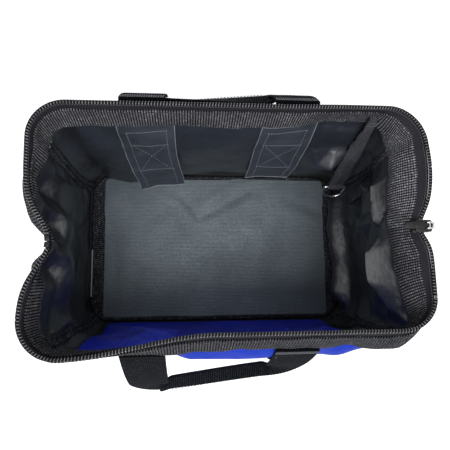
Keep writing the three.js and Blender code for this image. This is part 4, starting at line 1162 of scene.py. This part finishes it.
def drop_curve(q, drop, start_angle, end_angle):
    """Distance out and down, and the slope, at a distance from a handle's fold."""
    start, end = math.radians(start_angle), math.radians(end_angle)
    rate = (end - start) / drop
    curved = np.clip(q, 0, drop)
    angle = start + rate * curved
    out = (np.sin(angle) - math.sin(start)) / rate + (q - curved) * np.cos(angle)
    down = (math.cos(start) - np.cos(angle)) / rate + (q - curved) * np.sin(angle)
    return out, down, angle


HANDLES = {
    "front": {
        "sign": -1,
        "fold": WALL_FOLD_LEVEL,
        "face": OUTER_FACE,
        "drop": 90,
        "angles": (59, 74),
        "skew": 0.1,  # it hangs lower at the left
        "lean": 0.2,  # and further out
        "twist": -38,  # degrees that the folded grip lies flatter than its legs
        "roll": -16,  # and by how much more it does so towards the right
        "flaps": (0.3, 0.5),  # how far the folded half stands off, at the left and right bends
        "row_sides": (1,),  # the legs whose folds show their rows of stitches
    },
    "back": {
        "sign": 1,
        "fold": BACK_LEG_TOP,
        "face": OVER_BAND_FACE,
        "drop": 62,
        "angles": (50, 84),
        "skew": 0.1,
        "lean": -0.04,
        "twist": -24,
        "roll": -26,
        "flaps": (0.08, 0.12),
        "row_sides": (-1, 1),
    },
}
FOLD_RADIUS = 1.05  # of the webbing where it is folded lengthwise at the grip


def handle_line(drop, pitch):
    """Middle line of a handle: place along the bag, distance from the fold, direction, and how
    far the webbing is folded over."""
    straight = drop - HANDLE_BEND
    q = spread(0, straight, pitch)
    turn = spread(0, math.pi / 2, pitch / HANDLE_BEND)[1:]
    grip = spread(-HANDLE_HALF + HANDLE_BEND, 0, pitch)[1:]
    legs = np.stack([np.full_like(q, -HANDLE_HALF), q, 0 * q, 0 * q])
    bend_x = -HANDLE_HALF + HANDLE_BEND * (1 - np.cos(turn))
    bend = np.stack([bend_x, straight + HANDLE_BEND * np.sin(turn), turn, turn / (math.pi / 2)])
    middle = np.stack([grip, np.full_like(grip, drop), 0 * grip + math.pi / 2, 0 * grip + 1])
    left = np.concatenate([legs, bend, middle], 1)
    right = left[:, -2::-1] * np.array([[-1], [1], [-1], [1]]) + np.array([[0], [0], [math.pi], [0]])
    return np.concatenate([left, right], 1)


def place_on_handle(half, x, q, turn, share, across, lift):
    """A point of a handle: across its webbing, and lifted off it towards the outside."""
    spec = HANDLES[half]
    sign, fold = spec["sign"], spec["fold"]
    twist = np.radians(spec["twist"] + spec["roll"] * x / HANDLE_HALF) * ease(share)
    cos, sin = np.cos(twist), np.sin(twist)
    across, lift = across * cos - lift * sin, across * sin + lift * cos
    q = q * (1 - spec["skew"] * x / HANDLE_HALF)
    leg_face = shell(np.array([float(wall_s(half, 0))]), np.array([fold]), spec["face"] - WEBBING)
    pivot = leg_face[0, 1] + sign * HANDLE_PIVOT_CLEARANCE
    out, down, angle = drop_curve(q - across * np.sin(turn), spec["drop"], *spec["angles"])
    out = (out + lift * np.sin(angle)) * (1 - spec["lean"] * x / HANDLE_HALF)
    down = down - lift * np.cos(angle)
    px = HANDLE_CENTRE_X + x + across * np.cos(turn)
    return np.stack([px, pivot + sign * out, fold - down], -1)


def make_handle_loops():
    """Webbing whose inner half is folded over its outer half, through the bends and the grip."""
    w = np.linspace(-1, 1, 27)[None, :] * WEBBING_WIDTH / 2
    thick = (WEBBING / 2) * (1 - 0.4 * bell((1 - np.abs(w) / (WEBBING_WIDTH / 2)) / 0.05))
    row_across = np.linspace(-1, 1, 40) * (WEBBING_WIDTH / 2 - 1.5)
    flat = np.zeros(40)
    for half, spec in HANDLES.items():
        body = "handle_" + half
        x, q, turn, share = (row[:, None] for row in handle_line(spec["drop"], 0.5))
        folded = ease(share)
        curl = np.clip(np.maximum(w, 0) / FOLD_RADIUS, 0, math.pi * folded)
        rest = np.maximum(w, 0) - curl * FOLD_RADIUS
        across = folded * GRIP_WIDTH / 2 + np.minimum(w, 0) + FOLD_RADIUS * np.sin(curl)
        across = across + rest * np.cos(curl)
        flap = np.where(x < 0, *spec["flaps"])
        lift = FOLD_RADIUS * (1 - np.cos(curl)) + rest * np.sin(curl) * flap - FOLD_RADIUS * folded
        outer, inner = (
            place_on_handle(half, x, q, turn, share, across - t * np.sin(curl), lift + t * np.cos(curl))
            for t in (thick, -thick)
        )
        along = distances(np.concatenate([x, q], 1))[:, None]
        if half == "front":
            outer, inner, along = outer[::-1], inner[::-1], along[::-1]
        loop = cloth(half + "_handle_webbing", outer, inner, along, w, [BLACK_WEBBING], (1, 1))
        rib(loop, BLACK_WEBBING, HANDLE_RIB_HEIGHT, HANDLE_RIB_PITCH)
        carry(loop, body, "webbing", half + "_handle_loop")
        spine = handle_line(spec["drop"], 2)
        grip = spine[:, spine[3] > 0.97]
        seam = place_on_handle(half, *grip, -GRIP_WIDTH / 2 + 3, FOLD_RADIUS + WEBBING / 2 + 0.35)
        carry(stitch_rows(half + "_grip_stitches", [seam], DARK_THREAD), body, "webbing")
        rows = [
            place_on_handle(half, flat + end, flat + q, flat, flat, row_across, WEBBING / 2 + 0.45)
            for q in (1.6, 4.2, 6.8)
            for end in np.array(spec["row_sides"]) * HANDLE_HALF
        ]
        fold_rows = stitch_rows(half + "_fold_stitches", rows, PALE_THREAD, 1.9, 0.28)
        carry(fold_rows, body, "webbing")


def ring_faces(rings, sides, closed=False):
    """Faces between rings of points, and one over each end unless the rings meet."""
    faces = []
    for i in range(rings if closed else rings - 1):
        for j in range(sides):
            a, b = i * sides + j, i * sides + (j + 1) % sides
            c, d = (i + 1) % rings * sides + j, (i + 1) % rings * sides + (j + 1) % sides
            faces.append((a, b, d, c))
    if closed:
        return faces
    return faces + [tuple(reversed(range(sides))), tuple(range((rings - 1) * sides, rings * sides))]


def unit(vectors):
    return vectors / np.linalg.norm(vectors, axis=-1, keepdims=True)


def distances(points):
    """How far along the line through them each point is."""
    return np.concatenate([[0], np.cumsum(np.linalg.norm(np.diff(points, axis=0), axis=1))])


def tube(name, path, radius, sides, finish, closed=False):
    """A round wire through points in millimetres, held upright against twisting."""
    path = np.asarray(path, float)
    ahead = np.roll(path, -1, 0) - np.roll(path, 1, 0)
    if not closed:
        ahead[0], ahead[-1] = path[1] - path[0], path[-1] - path[-2]
    ahead = unit(ahead)
    first = unit(np.cross(ahead, np.array([0, 1, 0.001])))
    second = np.cross(ahead, first)
    angle = (np.arange(sides) / sides * 2 * math.pi)[None, :, None]
    rings = path[:, None] + radius * (np.cos(angle) * first[:, None] + np.sin(angle) * second[:, None])
    faces = ring_faces(len(path), sides, closed)
    return smooth(make_object(name, rings.reshape(-1, 3), faces, [finish]), 60)


def prism(plan, low, high):
    """Points and faces of an upright solid on a plan given anticlockwise."""
    count = len(plan)
    points = [(x, y, low) for x, y in plan] + [(x, y, high) for x, y in plan]
    sides = [(i, (i + 1) % count, (i + 1) % count + count, i + count) for i in range(count)]
    return points, [tuple(reversed(range(count))), tuple(range(count, 2 * count))] + sides


def solids(name, parts, finish, bevel):
    """Joins several solids into one object and rounds their edges."""
    points, faces = [], []
    for part_points, part_faces in parts:
        faces += [tuple(i + len(points) for i in face) for face in part_faces]
        points += part_points
    made = make_object(name, points, faces, [finish])
    rounding = made.modifiers.new("rounding", "BEVEL")
    rounding.width = bevel * MM
    rounding.segments = 2
    rounding.limit_method = "ANGLE"
    keep_result(made, rounding)
    return smooth(made, 35)


slider_low, slider_high = (np.array(corner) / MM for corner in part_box("zip_slider"))
PLATE = 1.5
PLATE_GAP = 4.6


def make_slider():
    """Black enamelled plates with a wedge between them, and a bright bridge for the puller. Plans
    are given along the zip from the slider's ends or its pin, and across from its middle."""
    start, end, low = slider_low[0], slider_high[0], slider_low[2]
    mid = (slider_low[1] + slider_high[1]) / 2
    top = low + 2 * PLATE + PLATE_GAP

    def moved(plan, side=1):
        """A plan about the slider's middle line, or its mirror image, still anticlockwise."""
        return [(x, mid + side * y) for x, y in plan][::side]

    plan = [(start, -3.6), (start + 1.2, -5.2), (start + 4.5, -5.5), (start + 9.5, -4.6)]
    plan += [(end - 0.8, -4.4), (end, -3.6)]
    plan = moved(plan + [(x, -y) for x, y in reversed(plan)] + [(start + 1.6, 0)])
    wedge = moved([(start + 0.4, 0), (start + 2.5, -1.3), (start + 5, 0), (start + 2.5, 1.3)])
    parts = [prism(plan, low, low + PLATE), prism(plan, top - PLATE, top)]
    parts.append(prism(wedge, low + PLATE - 0.1, top - PLATE + 0.1))
    flange = [(start + 8, 4.5), (end - 0.6, 4.3), (end - 0.6, 5.0), (start + 8, 5.3)]
    pin_x = end - 3.75
    pin_z = top + 2.4
    ear = [(pin_x - 2.2, 1.7), (pin_x + 4.1, 1.7), (pin_x + 4.1, 3.0), (pin_x - 2.2, 3.0)]
    bridge = []
    for side in (-1, 1):
        parts.append(prism(moved(flange, side), low + 0.2, low + PLATE + 0.9))
        parts.append(prism(moved(flange, side), top - PLATE - 0.9, top - 0.2))
        bridge.append(prism(moved(ear, side), top - 0.1, top + 3.1))
    lip = [(pin_x + 2.6, -3.0), (pin_x + 4.4, -2.4), (pin_x + 4.4, 2.4), (pin_x + 2.6, 3.0)]
    bridge.append(prism(moved(lip), top - 0.1, top + 2.6))
    pin = [(pin_x, mid - 3.2, pin_z), (pin_x + 0.001, mid + 3.2, pin_z)]
    for piece in (
        solids("slider_body", parts, ENAMEL, 0.35),
        solids("slider_bridge", bridge, NICKEL, 0.4),
        tube("slider_pin", pin, 0.8, 14, NICKEL),
    ):
        carry(piece, "zip_slider", "metal", "zip_slider")
    tab = [(pin_x + 1.75, 0.7), (pin_x + 1.2, 1.25), (pin_x - 3.6, 1.25)]
    tab += [(pin_x - 5.6, 2.9), (pin_x - 20.6, 2.9), (pin_x - 22, 1.6)]
    tab = moved(tab + [(x, -y) for x, y in reversed(tab)])
    puller = solids("puller_tab", [prism(tab, pin_z - 0.7, pin_z + 0.7)], ENAMEL, 0.3)
    carry(puller, "zip_puller", "metal", "zip_puller")


def shell_block(name, span, levels, depths, finish):
    """A small block with rounded edges that sits against the shell."""
    s, z, depth = np.meshgrid(span, levels, depths, indexing="ij")
    points = shell(s.ravel(), z.ravel(), depth.ravel())
    faces = [(0, 1, 3, 2), (4, 6, 7, 5), (0, 4, 5, 1), (2, 3, 7, 6), (0, 2, 6, 4), (1, 5, 7, 3)]
    return solids(name, [([tuple(point) for point in points], faces)], finish, 0.35)


def make_stops_and_tail():
    """The zip's joined tail outside the right end with its stop, and the stops at the left."""
    top = BAND_TOP - GAP
    face = OUTER_FACE - BAND - GAP
    out = face - TAIL
    across = np.linspace(-1, 1, 15)
    low = top - TAIL_LENGTH + 2 * np.maximum(np.abs(across) - 0.7, 0) ** 2 / 0.09
    rows = low[None, :] + (top - low[None, :]) * np.linspace(0, 1, 14)[:, None]
    tape = shell_cloth("zip_tail_tape", SLIDER_S + across * TAIL_WIDTH / 2, rows, out, face, [ZIP_TAPE])
    carry(tape, "base", "zip_tape", "zip_tail")
    columns = SLIDER_S + np.linspace(-1, 1, 9) * 2.3
    crown = 1.1 * np.sqrt(1 - np.linspace(-0.98, 0.98, 9) ** 2)[None, :]
    for name, (start, end) in {"upper": (top - 4.4, top - 0.6), "lower": (top - 24, top - 10.6)}.items():
        places = (columns, spread(start, end, 0.4), out - 0.1 - crown, out + 0.1)
        chain = shell_cloth("zip_tail_chain_" + name, *places, [NYLON], (1, 0), True)
        carry(rib(chain, NYLON, 0.6), "base", "zip_coil")
    edge = TAIL_WIDTH / 2 - 1.6
    up = spread(top - TAIL_LENGTH + 2, top - 1, 1)
    lines = [shell(SLIDER_S + side * edge, up, out - 0.3) for side in (-1, 1)]
    lines.append(shell(SLIDER_S + spread(-edge, edge, 1), top - TAIL_LENGTH + 2, out - 0.3))
    carry(stitch_rows("zip_tail_stitches", lines, DARK_THREAD, 2.4), "base", "webbing")
    span = (SLIDER_S - STOP_WIDTH / 2, SLIDER_S + STOP_WIDTH / 2)
    levels = (top - STOP_DROP - STOP_HEIGHT, top - STOP_DROP)
    stop = shell_block("zip_stop_clamp", span, levels, (out - GAP - STOP_THICKNESS, out - GAP), NICKEL)
    carry(stop, "base", "metal", "zip_bottom_stop")
    levels = (COIL_BOTTOM, COIL_BOTTOM + COIL_HEIGHT)
    depths = (COIL_MIDDLE_DEPTH - TOP_STOP_WIDTH / 2, COIL_MIDDLE_DEPTH + TOP_STOP_WIDTH / 2)
    for half, start in (
        ("front", -LEFT_SEAM_S + GAP),
        ("back", 2 * HALF_GIRTH - LEFT_SEAM_S - GAP - TOP_STOP_LENGTH),
    ):
        span = (start, start + TOP_STOP_LENGTH)
        clamp = shell_block(half + "_stop_clamp", span, levels, depths, ENAMEL)
        follow(clamp, half, "metal", half + "_top_stop")


def make_outer_seams():
    """A narrow turned ridge outside, where each wall is sewn to each end, and its stitching."""
    rows = spread(17, BAND_BOTTOM - 1.5, 2)
    across = np.linspace(-1, 1, 9)
    crown = SEAM_HEIGHT * np.sqrt(1 - (0.97 * across) ** 2)[None, :]
    for name, middle, side in (
        ("front_right", WALL_HALF, 1),
        ("front_left", -WALL_HALF, -1),
        ("back_right", BACK_WALL, -1),
        ("back_left", BACK_WALL + 2 * WALL_HALF, 1),
    ):
        half = name.split("_")[0]
        places = (middle + SEAM_HALF * across, rows, -0.15 - crown, -0.1)
        ridge = shell_cloth(name + "_outer_seam", *places, [BLACK_OXFORD])
        follow(ridge, half, "black_shell")
        line = shell(middle + side * SEAM_STITCHES, rows, -OVER_CLOTH)
        follow(stitch_rows(name + "_outer_stitches", [line], DARK_THREAD), half, "black_shell")


def strap_route(steps):
    """The ring strap's middle line from the band down to the loop, as in the part's source."""
    top_s = BACK_WALL + WALL_HALF - (HALF_LENGTH - STRAP_TOP_FROM_END)
    top = shell(np.array([top_s]), PANEL_TOP, INNER_FACE + BAND + GAP)[0]
    start = np.array([HALF_LENGTH - STRAP_TOP_FROM_END, top[1] - 1.2, top[2]])
    loop_x = HALF_LENGTH - STRAP_LOOP_FROM_END
    end = np.array([loop_x, HALF_WIDTH - STRAP_LOOP_FROM_BACK, STRAP_LOOP_HEIGHT])
    control = np.array([loop_x, (start[1] + end[1]) / 2, start[2] - STRAP_CROSSES])
    t = np.linspace(0, 1, steps)[:, None]
    curve = (1 - t) ** 2 * start + 2 * t * (1 - t) * control + t * t * end
    return curve - STRAP_CLEARS_END * np.sin(math.pi * t) * np.array([1.0, 0, 0])


STRAP_PLY = 1.15
LOOP_RADIUS = 2.85  # middle of the webbing, where it goes round the ring's bar
STRAP_WIDTH = 17.5


def make_ring_strap():
    """Doubled webbing: down from the band, round the ring's bar and up again behind."""
    route = strap_route(260)
    length = distances(route)
    side = np.array([1.0, 0, 0])
    ahead = unit(np.gradient(route, axis=0))
    behind = unit(np.cross(side, ahead))
    apart = STRAP_PLY / 2 + 0.05
    opening = apart + (LOOP_RADIUS - apart) * ease((length - length[-1] + 9) / 9)
    offset = behind * opening[:, None]
    turn = np.linspace(0, math.pi, 16)[1:-1, None]
    out_round = ahead[-1] * np.sin(turn) - behind[-1] * np.cos(turn)
    round_bar = route[-1] + LOOP_RADIUS * out_round
    middle = np.concatenate([route - offset, round_bar, (route + offset)[::-1]])
    away = np.concatenate([-behind, out_round, behind[::-1]])
    width = STRAP_TOP_WIDTH + (STRAP_WIDTH - STRAP_TOP_WIDTH) * ease(length / STRAP_WIDENS)
    width = np.concatenate([width, np.full(len(turn), STRAP_WIDTH), width[::-1]])[:, None]
    share = np.linspace(-1, 1, 13)[None, :]
    across = share * width / 2
    # the strap's edges are pulled towards the wall, so its middle stands out
    cup = -1.1 * share**2 * ease((width - STRAP_TOP_WIDTH) / 8)
    pull = np.concatenate([-behind, 0 * out_round, -behind[::-1]])[:, None]
    base = middle[:, None] + across[..., None] * side + pull * cup[..., None]
    outer = base + away[:, None] * STRAP_PLY / 2
    inner = base - away[:, None] * STRAP_PLY / 2
    slanted = distances(middle)[:, None] + 0.8 * np.abs(across)
    strap = cloth("ring_strap_webbing", outer, inner, slanted, across, [STRAP_WEBBING], (1, 0))
    strap = rib(strap, STRAP_WEBBING, HANDLE_RIB_HEIGHT, HANDLE_RIB_PITCH)
    carry(strap, "ring_strap", "webbing", "ring_strap")
    rows = [
        middle[place] + away[place] * (STRAP_PLY / 2 + 0.4) + share.T * 3.2 * side
        for place in (14, 22)
    ]
    carry(stitch_rows("ring_strap_stitches", rows, PALE_THREAD, 1.9, 0.3), "ring_strap", "webbing")


def bezier(points, steps):
    """Points along a quadratic or cubic curve, without its last one."""
    t = np.linspace(0, 1, steps, endpoint=False)[:, None]
    points = np.array(points, float)
    while len(points) > 1:
        points = [a * (1 - t) + b * t for a, b in zip(points, points[1:])]
    return points[0]


RING_LEAN = 28  # degrees that the ring's bow rests forward of straight down


def make_d_ring():
    """A straight bar through the strap's loop and a bow below it, of one round wire."""
    wide, corner, deep = RING_HALF_WIDTH, RING_CORNER, RING_DEPTH
    plan = [
        bezier([(corner - wide, 0), (wide - corner, 0)], 8),
        bezier([(wide - corner, 0), (wide, 0), (wide, -corner)], 8),
        bezier([(wide, -corner), (wide, -deep), (corner, -deep), (0, -deep)], 20),
        bezier([(0, -deep), (-corner, -deep), (-wide, -deep), (-wide, -corner)], 20),
        bezier([(-wide, -corner), (-wide, 0), (corner - wide, 0)], 8),
    ]
    plan = np.concatenate(plan)
    middle = strap_route(2)[-1]
    lean = math.radians(RING_LEAN)
    path = np.stack([plan[:, 0], plan[:, 1] * math.sin(lean), plan[:, 1] * math.cos(lean)], 1) + middle
    carry(tube("d_ring_wire", path, RING_WIRE, 16, NICKEL, True), "d_ring", "metal", "d_ring")


make_panels()
make_rim()
make_bottom()
make_floor()
make_seam_bindings()
make_patches()
make_handle_legs()
make_handle_loops()
make_stops_and_tail()
make_outer_seams()
make_ring_strap()
make_d_ring()
make_slider()


# Camera at the photograph's place: above the front left of the middle, looking down
CAMERA_PLACE = (-0.0345, -0.0493, 0.5786)
CAMERA_TILT = (7.74, -4.58, -0.01)  # degrees about X, then Y, then Z
CAMERA_LENS = 34.58
LAMP_PLACE = (-0.03, -0.6, 1.35)
LAMP_SIZE = 0.8
LAMP_WATTS = 16
TABLE_REACH = 20000  # so far that its edge isn't seen
TABLE_GLOW = 0.5
SURROUND_LIGHT = 0.55  # on the bag; what the camera sees of the surround is white


def set_camera():
    camera = put(bpy.data.objects.new("camera", bpy.data.cameras.new("camera")))
    camera.data.lens = CAMERA_LENS
    camera.data.sensor_width = 36
    camera.data.clip_start = 0.01
    turn = Matrix.Identity(4)
    for degrees, axis in zip(CAMERA_TILT, "XYZ"):
        turn = turn @ Matrix.Rotation(math.radians(degrees), 4, axis)
    camera.matrix_world = Matrix.Translation(CAMERA_PLACE) @ turn
    scene.camera = camera


def seen_by_lens(tree):
    """1 where the camera, a reflection or glass looks, and 0 for light that falls on the bag."""
    light = add(tree, "ShaderNodeLightPath").outputs
    seen = maths(tree, "MAXIMUM", light["Is Camera Ray"], light["Is Glossy Ray"])
    return maths(tree, "MAXIMUM", seen, light["Is Transmission Ray"])


def set_stage():
    """A white table, a white surround and one large soft lamp above."""
    material, tree = start_material("white_table")
    strength = product(tree, seen_by_lens(tree), TABLE_GLOW)
    paint = add(tree, "ShaderNodeBsdfDiffuse", None, {"Color": linear("#f2f2f2")})
    glow = add(tree, "ShaderNodeEmission", None, {"Color": (1, 1, 1, 1), "Strength": strength})
    both = add(tree, "ShaderNodeAddShader", None, {0: paint, 1: glow})
    add(tree, "ShaderNodeOutputMaterial", None, {"Surface": both})
    corners = TABLE_REACH * np.array([(-1, -1, 0), (1, -1, 0), (1, 1, 0), (-1, 1, 0)])
    make_object("table", corners, [(0, 1, 2, 3)], [material])
    world = bpy.data.worlds.new("surround")
    world.use_nodes = True
    tree = world.node_tree
    tree.nodes.clear()
    strength = between(tree, seen_by_lens(tree), 0, 1, SURROUND_LIGHT, 1.0)
    shade = add(tree, "ShaderNodeBackground", None, {"Color": (1, 1, 1, 1), "Strength": strength})
    add(tree, "ShaderNodeOutputWorld", None, {"Surface": shade})
    scene.world = world
    lamp = bpy.data.lights.new("soft_lamp", "AREA")
    lamp.size = LAMP_SIZE
    lamp.energy = LAMP_WATTS
    holder = put(bpy.data.objects.new("soft_lamp", lamp))
    holder.location = LAMP_PLACE
    holder.rotation_euler = (-Vector(LAMP_PLACE)).to_track_quat("-Z", "Y").to_euler()


set_camera()
set_stage()
scene.view_settings.view_transform = "Standard"
